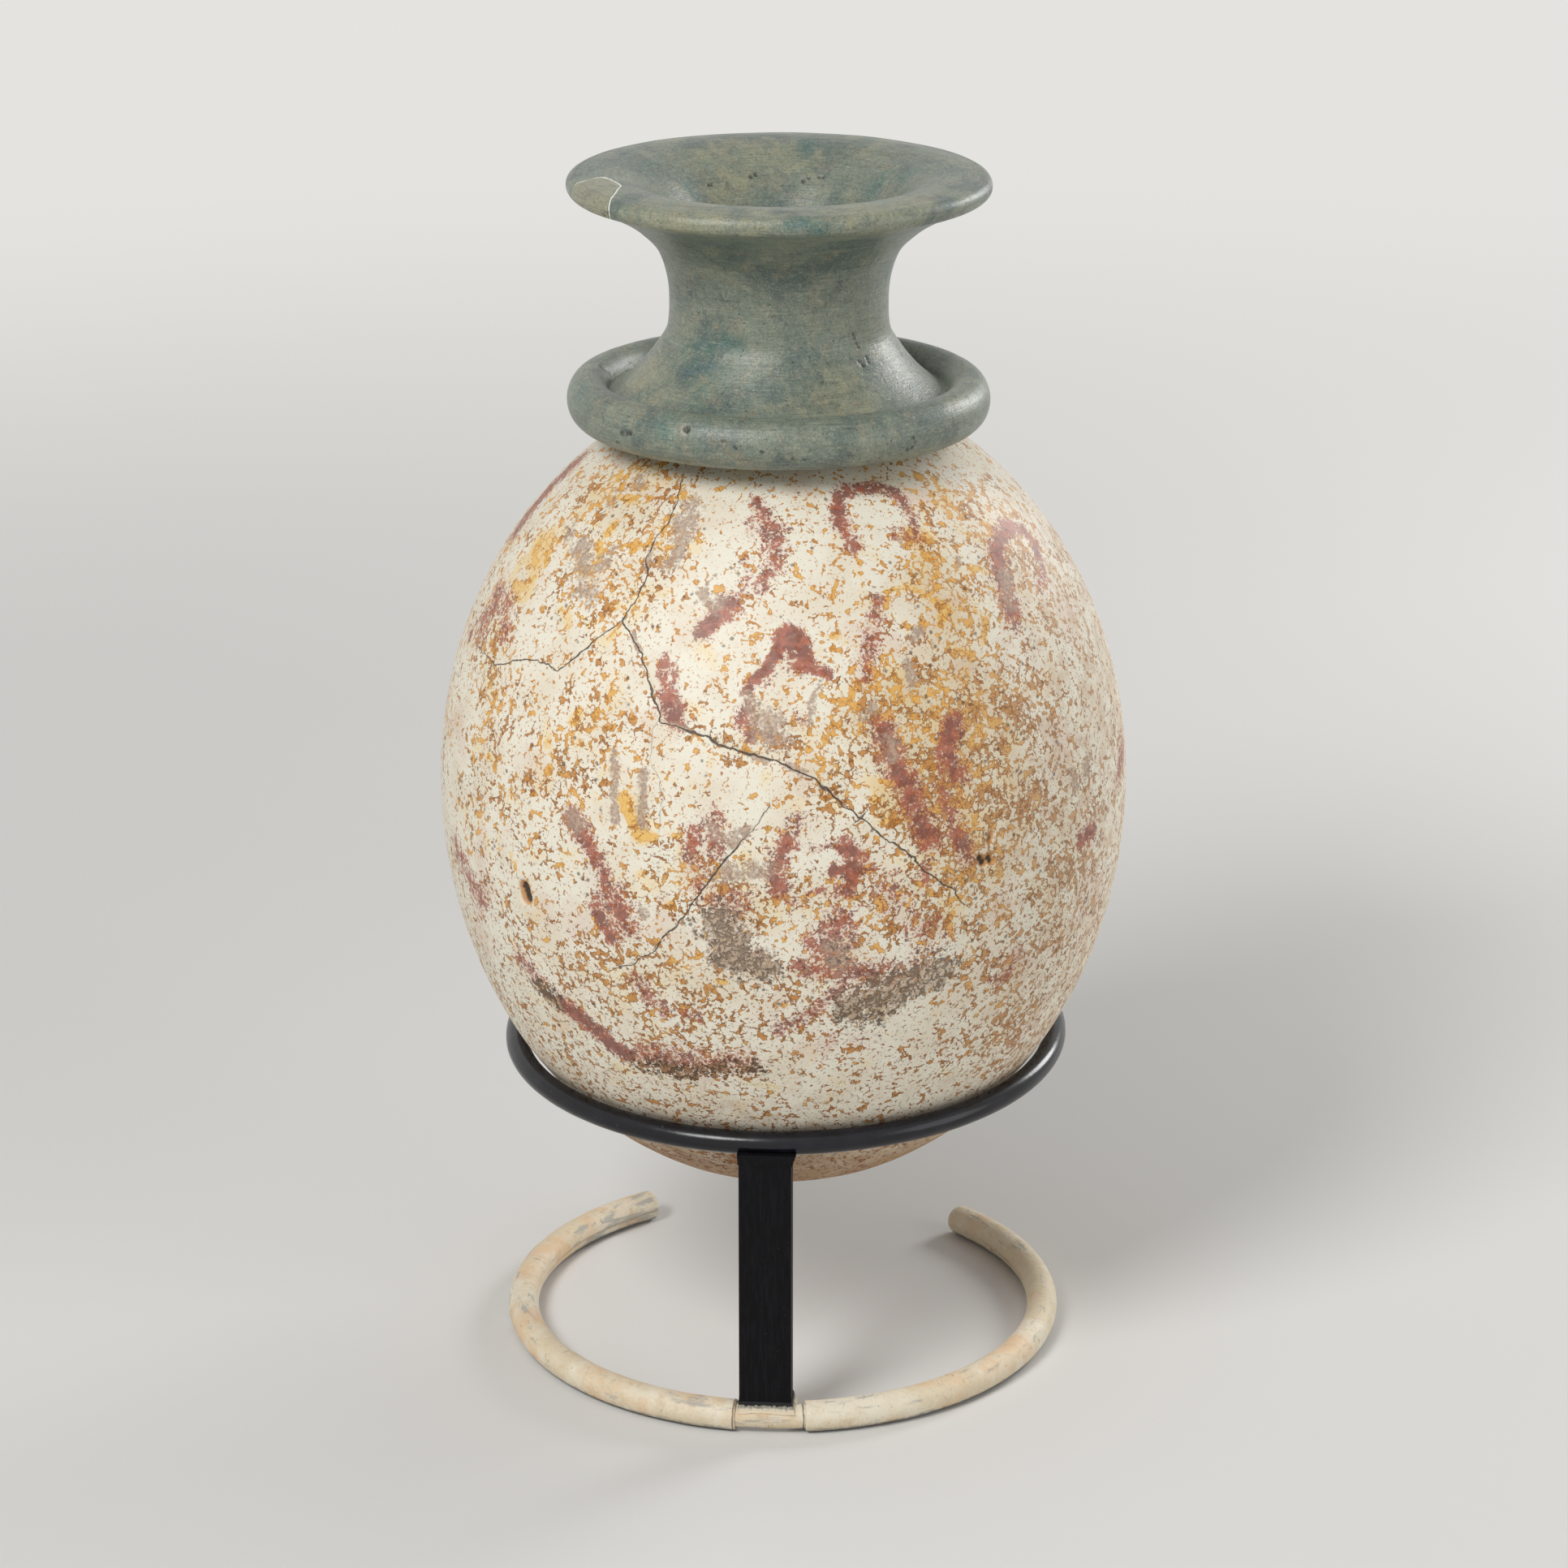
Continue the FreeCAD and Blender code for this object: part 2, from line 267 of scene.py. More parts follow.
def throughPoints(points, startWay, endWay, steps):
    # a smooth line through the points, which leaves and arrives along the given ways
    spots = [Vector(point) for point in points]
    ways = [Vector(startWay).normalized()]
    for before, after in zip(spots, spots[2:]):
        ways.append((after - before).normalized())
    ways.append(Vector(endWay).normalized())
    lengths = [(b - a).length for a, b in zip(spots, spots[1:])]
    total = sum(lengths)
    line = []
    for index, length in enumerate(lengths):
        a, b = spots[index], spots[index + 1]
        wayA, wayB = ways[index] * length, ways[index + 1] * length
        count = max(2, round(steps * length / total))
        for step in range(count):
            t = step / count
            line.append(
                a * (2 * t**3 - 3 * t**2 + 1) + wayA * (t**3 - 2 * t**2 + t)
                + b * (3 * t**2 - 2 * t**3) + wayB * (t**3 - t**2))
    return [(spot.x, spot.y) for spot in line] + [tuple(points[-1])]


def straight(start, end, steps):
    # the corners between a start and an end
    return [
        (start[0] + (end[0] - start[0]) * step / steps, start[1] + (end[1] - start[1]) * step / steps)
        for step in range(1, steps)]


def lumps(spot, waves):
    # waves of noise, each (size, height) in millimetres
    return sum(noise.noise(spot / size) * rise for size, rise in waves)


def finishPiece(bm, name, body, slot, replaced, material, **values):
    # values are saved for each corner, for the material
    bm.transform(Matrix.Scale(metre, 4))
    piece = addMesh(name, bm)
    bm.free()
    mesh = piece.data
    mesh.shade_smooth()
    mesh.set_sharp_from_angle(angle=math.radians(42))
    mesh.materials.append(material)
    for value, numbers in values.items():
        attribute = mesh.attributes.new(value, "FLOAT", "POINT")
        attribute.data.foreach_set("value", np.asarray(numbers, np.float32))
    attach(piece, body)
    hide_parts(*replaced)
    print(f"{name}: {len(mesh.polygons)} faces")


def spotsOf(bm):
    return np.array([vert.co for vert in bm.verts], np.float32)


def filled(spots, value=0.0):
    return np.full(len(spots), value, np.float32)


def alongStroke(tree, points, spacing):
    # places on a surface under a stroke that is drawn over the photograph, with the spacing in its pixels
    spots = []
    for start, end in zip(points, points[1:]):
        count = max(1, round(math.dist(start, end) / spacing))
        for step in range(count + 1):
            spot = spotOn(tree, *(a + (b - a) * (step / count) for a, b in zip(start, end)))
            if spot:
                spots.append(spot)
    return spots


def closeness(spots, samples, radius, soft):
    # 1 inside the radius round the samples, 0 beyond it, with a soft edge
    best = filled(spots, farAway)
    for sample in samples:
        best = np.minimum(best, ((spots - np.array(sample, np.float32)) ** 2).sum(1))
    return np.clip((radius - np.sqrt(best)) / soft + 0.5, 0, 1)


def strokeField(tree, spots, strokes, soft, spacing=5):
    # soft is a share of each stroke's half width; at 2 a stroke fades evenly from its middle line
    field = filled(spots)
    for radius, strength, points in strokes:
        samples = alongStroke(tree, points, spacing)
        field = np.maximum(field, closeness(spots, samples, radius, radius * soft) * strength)
    return field


def nearStrokes(tree, spots, strokes, reach, spacing):
    # where a stroke's edge is nearer than the reach
    near = np.zeros(len(spots), bool)
    for radius, _, points in strokes:
        near |= closeness(spots, alongStroke(tree, points, spacing), radius + reach, 0.1) > 0.5
    return near


def cutFiner(bm, near):
    # finer faces round the corners that are near
    edges = [edge for edge in bm.edges if near[edge.verts[0].index] or near[edge.verts[1].index]]
    bmesh.ops.subdivide_edges(bm, edges=edges, cuts=2, use_grid_fill=True)
    bm.normal_update()


# the egg
egg = {
    "radius": 63.5, "lowerLength": 77.7, "upperLength": 74.8, "wall": 2.2,
    "pourHole": 4.0, "opening": 16.5, "rows": 190, "innerRows": 36, "steps": 336,
    "fineByCrack": 1.3, "fineByPit": 1.0, "halfLength": 76.0, "outsideFrom": 0.965,
    "crackDepth": 0.22, "crackReach": 0.5, "crackFade": (2.4, 0.8),
    "strayReach": 2.0, "strayWaves": ((2.2, 0.55), (0.9, 0.3)), "sideStray": 0.7,
    "skin": 0.05, "grainWaves": ((1.6, 0.5), (0.8, 0.35)), "lumpWaves": ((5.0, 0.05),),
    "pittedBelow": 12.0, "pittedOver": 30.0, "farTurnDeg": 158.0, "farFade": 16.0,
}
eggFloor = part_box("egg_shell")[0].z / metre
eggSink = egg["lowerLength"] * (1 - math.sqrt(1 - (egg["pourHole"] / egg["radius"]) ** 2))
eggHeight = eggFloor - eggSink + egg["lowerLength"]

# Strokes are (half width in mm, strength, places in the photograph).
redStrokes = [
    # the hooped mark in the middle
    (1.2, 1.3, [(967, 783), (976, 779), (985, 783)]),
    (1.2, 1.25, [(964, 791), (975, 788), (988, 791)]),
    (0.9, 1.2, [(961, 798), (955, 808), (949, 818)]),
    (0.85, 1.15, [(946, 822), (936, 832), (928, 841), (922, 851)]),
    (1.4, 1.15, [(987, 796), (989, 808), (993, 819)]),
    (0.8, 0.95, [(998, 822), (1009, 826), (1021, 831)]),
    (1.6, 0.8, [(970, 798), (980, 806), (984, 818)]),
    (1.0, 0.55, [(952, 834), (944, 843)]),
    (1.5, 0.72, [(921, 872), (914, 888), (926, 905)]),
    (1.2, 0.5, [(982, 880), (990, 892)]),
    (1.4, 0.5, [(946, 906), (956, 918)]),
    # upper row
    (1.5, 0.68, [(932, 618), (940, 638)]),
    (2.2, 0.66, [(942, 638), (954, 658), (957, 680)]),
    (1.7, 0.62, [(957, 680), (953, 704)]),
    (1.0, 0.58, [(944, 700), (941, 726)]),
    (1.0, 0.56, [(924, 642), (926, 654)]),
    (1.4, 0.5, [(918, 694), (926, 704)]),
    (1.4, 0.88, [(1052, 603), (1038, 606), (1031, 620), (1034, 640)]),
    (1.3, 0.76, [(1034, 640), (1044, 660), (1054, 676)]),
    (1.3, 0.9, [(1052, 603), (1084, 601), (1100, 607), (1112, 617)]),
    (1.4, 0.64, [(1112, 617), (1124, 636), (1128, 656)]),
    (1.8, 0.56, [(1108, 660), (1124, 662)]),
    (2.1, 0.84, [(900, 744), (890, 752)]),
    (1.7, 0.95, [(886, 758), (876, 768), (868, 776)]),
    (0.7, 0.85, [(868, 776), (858, 784)]),
    (2.2, 0.42, [(902, 736), (920, 728), (936, 716)]),
    (0.9, 0.85, [(819, 812), (816, 832), (819, 850)]),
    (0.8, 0.75, [(830, 820), (831, 834), (830, 846)]),
    (1.9, 0.95, [(824, 862), (828, 874), (830, 886)]),
    (1.6, 0.56, [(1082, 742), (1079, 766), (1074, 790)]),
    (1.8, 0.58, [(1074, 790), (1069, 812), (1068, 832)]),
    (1.7, 0.9, [(1246, 648), (1233, 660), (1228, 680), (1233, 700)]),
    (2.2, 0.84, [(1233, 700), (1239, 724), (1245, 752)]),
    (1.9, 0.66, [(1245, 752), (1249, 768)]),
    (1.3, 0.76, [(1246, 648), (1262, 654), (1274, 668), (1281, 688)]),
    (1.4, 0.6, [(1281, 688), (1286, 706), (1282, 726)]),
    # the long slanting strokes
    (2.1, 0.92, [(1088, 896), (1096, 920), (1102, 942)]),
    (2.2, 0.9, [(1102, 942), (1112, 962), (1122, 980)]),
    (2.2, 0.8, [(1122, 980), (1134, 1008), (1144, 1036)]),
    (1.3, 0.6, [(1140, 1066), (1141, 1088)]),
    (2.0, 0.95, [(1173, 894), (1170, 912), (1167, 926)]),
    (2.1, 0.74, [(1167, 930), (1174, 946), (1182, 956)]),
    (1.8, 0.74, [(1178, 1024), (1186, 1040), (1192, 1054)]),
    (2.4, 0.5, [(1160, 980), (1170, 1010)]),
    (1.9, 1.0, [(706, 1008), (712, 1018), (718, 1028)]),
    (1.5, 0.86, [(718, 1028), (727, 1043), (732, 1054)]),
    (1.4, 0.74, [(736, 1062), (743, 1076), (748, 1090)]),
    (2.6, 0.78, [(752, 1100), (762, 1120), (770, 1140)]),
    (1.3, 0.98, [(734, 1118), (744, 1140), (754, 1156)]),
    # the ringed mark
    (1.8, 0.82, [(968, 1040), (958, 1056), (954, 1076), (961, 1096)]),
    (2.0, 0.5, [(972, 1024), (984, 1014)]),
    (1.2, 0.52, [(976, 1108), (992, 1110)]),
    (1.5, 0.95, [(1040, 1043), (1050, 1056), (1052, 1077), (1045, 1096)]),
    (0.9, 0.62, [(1063, 1052), (1071, 1068)]),
    (0.8, 1.8, [(1027, 1072), (1029, 1074)]),
    (0.8, 0.62, [(1000, 1048), (1016, 1043), (1032, 1045)]),
    (0.8, 0.62, [(1008, 1096), (1024, 1102), (1040, 1101)]),
    # the lower marks
    (3.2, 0.74, [(1030, 1140), (1027, 1164), (1030, 1188)]),
    (1.9, 0.7, [(988, 1190), (1020, 1198), (1060, 1198), (1088, 1192)]),
    (1.3, 0.66, [(1040, 1212), (1014, 1236), (992, 1254), (958, 1268)]),
    (0.9, 0.6, [(1024, 1274), (1019, 1300)]),
    (1.6, 0.55, [(1000, 1150), (1004, 1182)]),
    (2.2, 0.62, [(642, 1182), (654, 1196), (664, 1208)]),
    (1.8, 1.0, [(692, 1236), (714, 1253), (738, 1273), (758, 1290), (774, 1300)]),
    (3.0, 0.66, [(792, 1300), (840, 1308), (880, 1312), (920, 1312)]),
    (1.9, 0.58, [(784, 1206), (800, 1228), (818, 1244)]),
    (1.2, 0.6, [(848, 1250), (860, 1254)]),
    (3.2, 0.62, [(612, 736), (604, 752), (596, 768)]),
    (2.4, 0.6, [(624, 744), (622, 760), (624, 778)]),
    (1.6, 0.56, [(586, 770), (578, 786)]),
    (2.8, 0.86, [(708, 570), (676, 602), (655, 628), (637, 652)]),
    (3.2, 0.58, [(564, 1051), (571, 1067), (581, 1086), (593, 1107)]),
    (2.0, 0.66, [(880, 1008), (882, 1026), (880, 1046)]),
    (1.6, 0.66, [(856, 1022), (852, 1044), (852, 1064)]),
    (1.6, 0.5, [(860, 1066), (862, 1080), (858, 1094)]),
    (3.0, 0.6, [(876, 1112), (894, 1120), (904, 1112)]),
    (3.0, 0.5, [(1040, 1222), (1090, 1204), (1140, 1186)]),
    (2.4, 0.46, [(930, 1176), (944, 1188)]),
    (2.2, 0.44, [(884, 1166), (900, 1180)]),
    (1.7, 0.85, [(1332, 1034), (1346, 1024)]),
    (2.6, 0.7, [(1383, 922), (1379, 948)]),
    (3.0, 0.44, [(1090, 1090), (1120, 1130), (1150, 1150)]),
    (2.4, 0.44, [(1250, 1180), (1230, 1210)]),
]
greyStrokes = [
    (1.9, 0.78, [(852, 622), (850, 638)]),
    (2.2, 0.86, [(846, 644), (842, 656)]),
    (1.6, 0.86, [(836, 682), (828, 692)]),
    (1.6, 0.7, [(786, 590), (788, 600)]),
    (2.4, 0.8, [(716, 672), (718, 690), (724, 702)]),
    (1.8, 0.64, [(744, 694), (752, 684)]),
    (2.4, 0.6, [(712, 728), (730, 732)]),
    (1.6, 0.6, [(700, 652), (706, 668)]),
    (1.2, 0.66, [(752, 620), (760, 612)]),
    (1.2, 0.8, [(923, 858), (927, 870)]),
    (2.6, 0.9, [(944, 892), (952, 906)]),
    (1.6, 0.7, [(958, 912), (962, 918)]),
    (0.85, 1.0, [(757, 931), (757, 960), (758, 1012)]),
    (0.85, 0.95, [(793, 948), (792, 975), (791, 1020)]),
    (1.1, 0.9, [(791, 1122), (792, 1128)]),
    (1.6, 0.74, [(866, 736), (876, 742), (886, 746)]),
    (1.9, 0.76, [(896, 1076), (918, 1078), (946, 1070)]),
    (0.6, 0.9, [(902, 1040), (907, 1026), (922, 1019), (917, 1033), (904, 1042)]),
    (1.4, 0.8, [(878, 1022), (888, 1028)]),
    (1.7, 0.95, [(706, 1008), (712, 1016)]),
    (3.6, 1.0, [(884, 1138), (896, 1152), (904, 1164)]),
    (3.2, 1.0, [(896, 1172), (918, 1182), (934, 1190)]),
    (2.2, 0.7, [(1030, 1164), (1034, 1186)]),
    (1.1, 0.9, [(1134, 777), (1126, 786)]),
    (1.0, 0.8, [(1118, 820), (1128, 846)]),
    (1.1, 0.8, [(1076, 872), (1066, 882)]),
    (0.9, 0.7, [(1178, 688), (1181, 696)]),
    (1.6, 0.76, [(1238, 706), (1243, 744)]),
    (1.8, 0.7, [(1096, 912), (1100, 932)]),
    (1.5, 0.76, [(1342, 935), (1338, 955)]),
    (1.3, 0.7, [(1322, 950), (1326, 968)]),
    (0.6, 0.95, [(1012, 842), (1006, 852), (1001, 862), (1000, 874), (998, 894)]),
    (0.5, 0.95, [(803, 674), (799, 690), (797, 700)]),
    (0.6, 0.95, [(780, 784), (787, 800)]),
    (0.6, 0.95, [(926, 931), (945, 938)]),
    (0.7, 0.95, [(973, 944), (990, 953)]),
    (0.5, 0.8, [(828, 892), (848, 900)]),
    (0.35, 0.8, [(883, 706), (875, 716), (868, 728)]),
]
yellowStrokes = [
    (1.4, 1.1, [(769, 986), (776, 1002), (784, 1018)]),
    (1.6, 1.05, [(784, 1020), (792, 1030)]),
    (0.9, 0.9, [(796, 1030), (806, 1031)]),
    (5.0, 0.6, [(668, 672), (655, 695), (642, 722)]),
    (0.8, 0.9, [(752, 616), (764, 612), (778, 617)]),
    (0.7, 0.9, [(764, 582), (760, 592)]),
    (0.85, 0.98, [(757, 646), (748, 657)]),
    (0.5, 0.86, [(724, 643), (740, 645)]),
    (0.85, 0.95, [(738, 671), (740, 688)]),
    (0.65, 0.92, [(782, 677), (799, 671)]),
    (0.6, 0.92, [(812, 671), (822, 684)]),
    (0.5, 0.9, [(815, 654), (818, 660)]),
    (0.6, 0.92, [(833, 613), (850, 613)]),
    (1.0, 0.88, [(712, 701), (728, 704)]),
    (0.75, 0.88, [(692, 752), (700, 761), (702, 773)]),
    (0.5, 0.9, [(718, 758), (720, 764)]),
    (0.42, 0.9, [(726, 769), (742, 761)]),
    (0.5, 0.9, [(734, 738), (748, 744), (760, 752)]),
    (0.65, 0.9, [(753, 784), (757, 778)]),
    (0.6, 0.9, [(820, 690), (826, 700)]),
    (1.0, 0.8, [(706, 888), (712, 880)]),
    (0.6, 0.9, [(734, 895), (735, 900)]),
    (0.65, 0.85, [(674, 914), (676, 924)]),
    (0.9, 0.86, [(600, 930), (606, 934)]),
    (0.6, 0.8, [(616, 1048), (628, 1050), (636, 1072)]),
    (0.75, 0.86, [(832, 1029), (836, 1032)]),
    (0.55, 0.86, [(833, 1048), (834, 1050)]),
    (0.9, 0.86, [(820, 1117), (828, 1116)]),
    (0.5, 0.86, [(787, 1078), (793, 1077)]),
    (0.9, 0.92, [(1025, 785), (1033, 781)]),
    (0.45, 0.8, [(1036, 786), (1048, 793), (1060, 801)]),
    (0.8, 0.86, [(884, 1207), (894, 1210)]),
    (0.9, 0.7, [(925, 898), (934, 906)]),
    (2.0, 0.52, [(1118, 655), (1130, 664), (1140, 662)]),
    (3.2, 0.4, [(1080, 975), (1100, 990), (1095, 1000)]),
    (0.8, 0.8, [(1095, 728), (1120, 724), (1140, 732)]),
    (0.8, 0.76, [(1150, 740), (1166, 752), (1158, 768)]),
    (0.9, 0.76, [(1196, 700), (1222, 706)]),
    (0.9, 0.72, [(1200, 750), (1216, 762), (1212, 790)]),
    (0.9, 0.7, [(1176, 800), (1196, 810), (1190, 830)]),
]
# Where flecks lie thick or thin: (radius in mm, amount, places)
fleckClouds = [
    (8, 0.8, [(1150, 700), (1180, 760), (1150, 820)]),
    (10, 1.0, [(1130, 860), (1190, 850), (1180, 930)]),
    (9, 0.95, [(1090, 890), (1140, 940), (1130, 1000), (1180, 1040)]),
    (10, 0.75, [(1230, 900), (1250, 980), (1230, 1060)]),
    (12, 0.6, [(1290, 980), (1290, 1120), (1250, 1240)]),
    (9, 0.6, [(1180, 620), (1230, 640), (1280, 760)]),
    (8, 0.6, [(740, 610), (780, 640), (820, 670)]),
    (7, 0.45, [(700, 700), (740, 740), (800, 740)]),
    (7, 0.5, [(600, 760), (600, 860), (590, 960)]),
    (9, 0.35, [(640, 900), (660, 960), (600, 1000)]),
    (7, 0.5, [(760, 860), (720, 900), (700, 960)]),
    (9, 0.25, [(620, 1120), (680, 1190), (740, 1240), (820, 1270)]),
    (9, 0.5, [(780, 1190), (860, 1220), (960, 1220), (1060, 1190)]),
    (7, 0.65, [(900, 930), (960, 945), (1030, 960)]),
    (6, 0.6, [(860, 1080), (940, 1110), (1020, 1110), (1080, 1080)]),
    (9, 0.6, [(1100, 1100), (1150, 1130), (1200, 1130)]),
]
fleckGaps = [
    (7, 0.8, [(900, 660), (890, 740), (880, 830)]),
    (5, 0.8, [(1000, 640), (1000, 700), (1020, 750)]),
    (5, 1.0, [(850, 965), (890, 990), (950, 985)]),
    (4, 0.7, [(700, 1060), (690, 1100)]),
    (4, 0.7, [(1080, 640), (1080, 670)]),
    (4, 0.7, [(1096, 1060), (1070, 1040)]),
]
# Cracks: (x, y, strength) in the photograph
mainCrack = [
    (840, 590, 0.5), (833, 620, 0.55), (822, 645, 0.6), (810, 658, 0.5), (803, 674, 0.6), (798, 689, 0.5),
    (796, 702, 0.7), (794, 720, 0.7), (788, 732, 0.5), (777, 748, 0.5), (768, 764, 0.7), (777, 783, 0.9),
    (787, 799, 0.7), (793, 819, 0.9), (802, 845, 0.8), (806, 862, 0.9), (812, 875, 1.0), (813, 887, 0.8),
    (828, 895, 0.5), (851, 901, 1.1), (876, 911, 1.2), (899, 921, 1.25), (922, 929, 1.2), (942, 934, 0.8),
    (970, 943, 1.0), (988, 952, 1.0), (1006, 963, 0.8), (1021, 976, 0.8), (1039, 990, 0.8),
    (1055, 1003, 0.7), (1062, 1008, 0.9), (1086, 1031, 0.7), (1107, 1042, 0.75), (1119, 1051, 0.7),
    (1129, 1064, 0.75), (1142, 1075, 0.7), (1155, 1083, 0.7), (1171, 1094, 0.6), (1181, 1105, 0.6),
    (1192, 1116, 0.4), (1204, 1128, 0.0),
]
sideCracks = [
    [
        (767, 765, 0.4), (757, 772, 0.5), (738, 784, 0.6), (726, 795, 0.55), (713, 807, 0.6),
        (694, 820, 0.6), (686, 826, 0.6), (675, 819, 0.5), (661, 814, 0.5), (638, 812, 0.55),
        (623, 817, 0.45), (610, 819, 0.5), (600, 810, 0.4), (589, 798, 0.35), (577, 792, 0.0)],
    [
        (955, 977, 0.0), (945, 995, 0.4), (937, 1010, 0.4), (920, 1032, 0.3), (902, 1050, 0.8),
        (884, 1070, 0.8), (874, 1088, 0.95), (861, 1104, 0.7), (851, 1116, 0.6), (833, 1142, 0.8),
        (820, 1155, 0.6), (805, 1173, 0.5), (779, 1188, 0.5), (753, 1195, 0.4), (744, 1197, 0.0)],
    [
        (811, 889, 0.25), (803, 900, 0.25), (802, 926, 0.25), (804, 946, 0.25), (811, 960, 0.25),
        (815, 982, 0.25), (813, 1006, 0.25), (814, 1042, 0.2), (810, 1076, 0.2), (807, 1099, 0.0)],
    [(996, 951, 0.15), (1040, 951, 0.22), (1070, 952, 0.22), (1098, 954, 0.0)],
    [(905, 957, 0.0), (905, 972, 0.2), (904, 992, 0.0)],
    [(712, 634, 0.2), (716, 640, 0.35), (722, 645, 0.0)],
    [(1055, 1013, 0.4), (1061, 1008, 0.9), (1067, 1001, 0.3)],
]
# Pits are (radius in mm, depth in mm, places), and crusts (radius in mm, amount, places).
pits = [
    (1.2, 1.2, [(645, 1094), (648, 1106)]),
    (0.7, 0.9, [(1209, 1058), (1212, 1063)]),
    (0.6, 0.7, [(1219, 1057), (1221, 1061)]),
    (0.6, 0.4, [(1221, 1028), (1219, 1036)]),
    (0.3, 0.3, [(814, 977), (815, 979)]),
    (0.3, 0.3, [(1107, 1041), (1108, 1043)]),
]
crusts = [
    (4.0, 0.4, [(880, 1132), (896, 1152), (906, 1168)]),
    (3.4, 0.4, [(898, 1174), (918, 1184), (936, 1192)]),
    (2.6, 0.2, [(1028, 1146), (1030, 1180)]),
    (4.2, 0.5, [(1056, 1240), (1080, 1228), (1102, 1218)]),
    (3.6, 0.5, [(1108, 1214), (1132, 1206), (1156, 1196)]),
    (1.9, 0.5, [(666, 1216), (676, 1225), (684, 1233)]),
    (2.4, 0.35, [(786, 1312), (850, 1320), (930, 1316)]),
]


def eggProfile():
    outline = []
    for wall, rows in ((0, egg["rows"]), (egg["wall"], egg["innerRows"])):
        across, down, rise = (egg[name] - wall for name in ("radius", "lowerLength", "upperLength"))
        start = -math.degrees(math.acos(egg["pourHole"] / across))
        end = math.degrees(math.acos(egg["opening"] / across))
        lowerRows = round(rows * -start / (end - start))
        side = arc(0, eggHeight, across, down, start, 0, lowerRows)
        side += arc(0, eggHeight, across, rise, 0, end, rows - lowerRows)[1:]
        outline.append(side)
    return outline[0] + outline[1][::-1]


def nearCracks(spots, cracks, tree):
    # for the nearest crack: signed distance to its line, its strength there, and the plain distance
    side, strength, best = filled(spots), filled(spots), filled(spots, farAway)
    middle = Vector((0, 0, eggHeight))
    for points in cracks:
        line = [spotOn(tree, x, y) for x, y, _ in points]
        strengths = [point[2] for point in points]
        for start, end, before, after in zip(line, line[1:], strengths, strengths[1:]):
            step = np.array(end - start)
            across = np.array((end - start).cross(start - middle).normalized())
            away = spots - np.array(start)
            share = np.clip(away @ step / (step @ step), 0, 1)
            gap = np.sqrt(((away - share[:, None] * step) ** 2).sum(1))
            closer = gap < best
            best = np.where(closer, gap, best)
            side = np.where(closer, np.where(away @ across > 0, gap, -gap), side)
            strength = np.where(closer, before + (after - before) * share, strength)
    reach, fade = egg["crackFade"]
    return side, strength * np.clip((reach - best) / fade, 0, 1), best


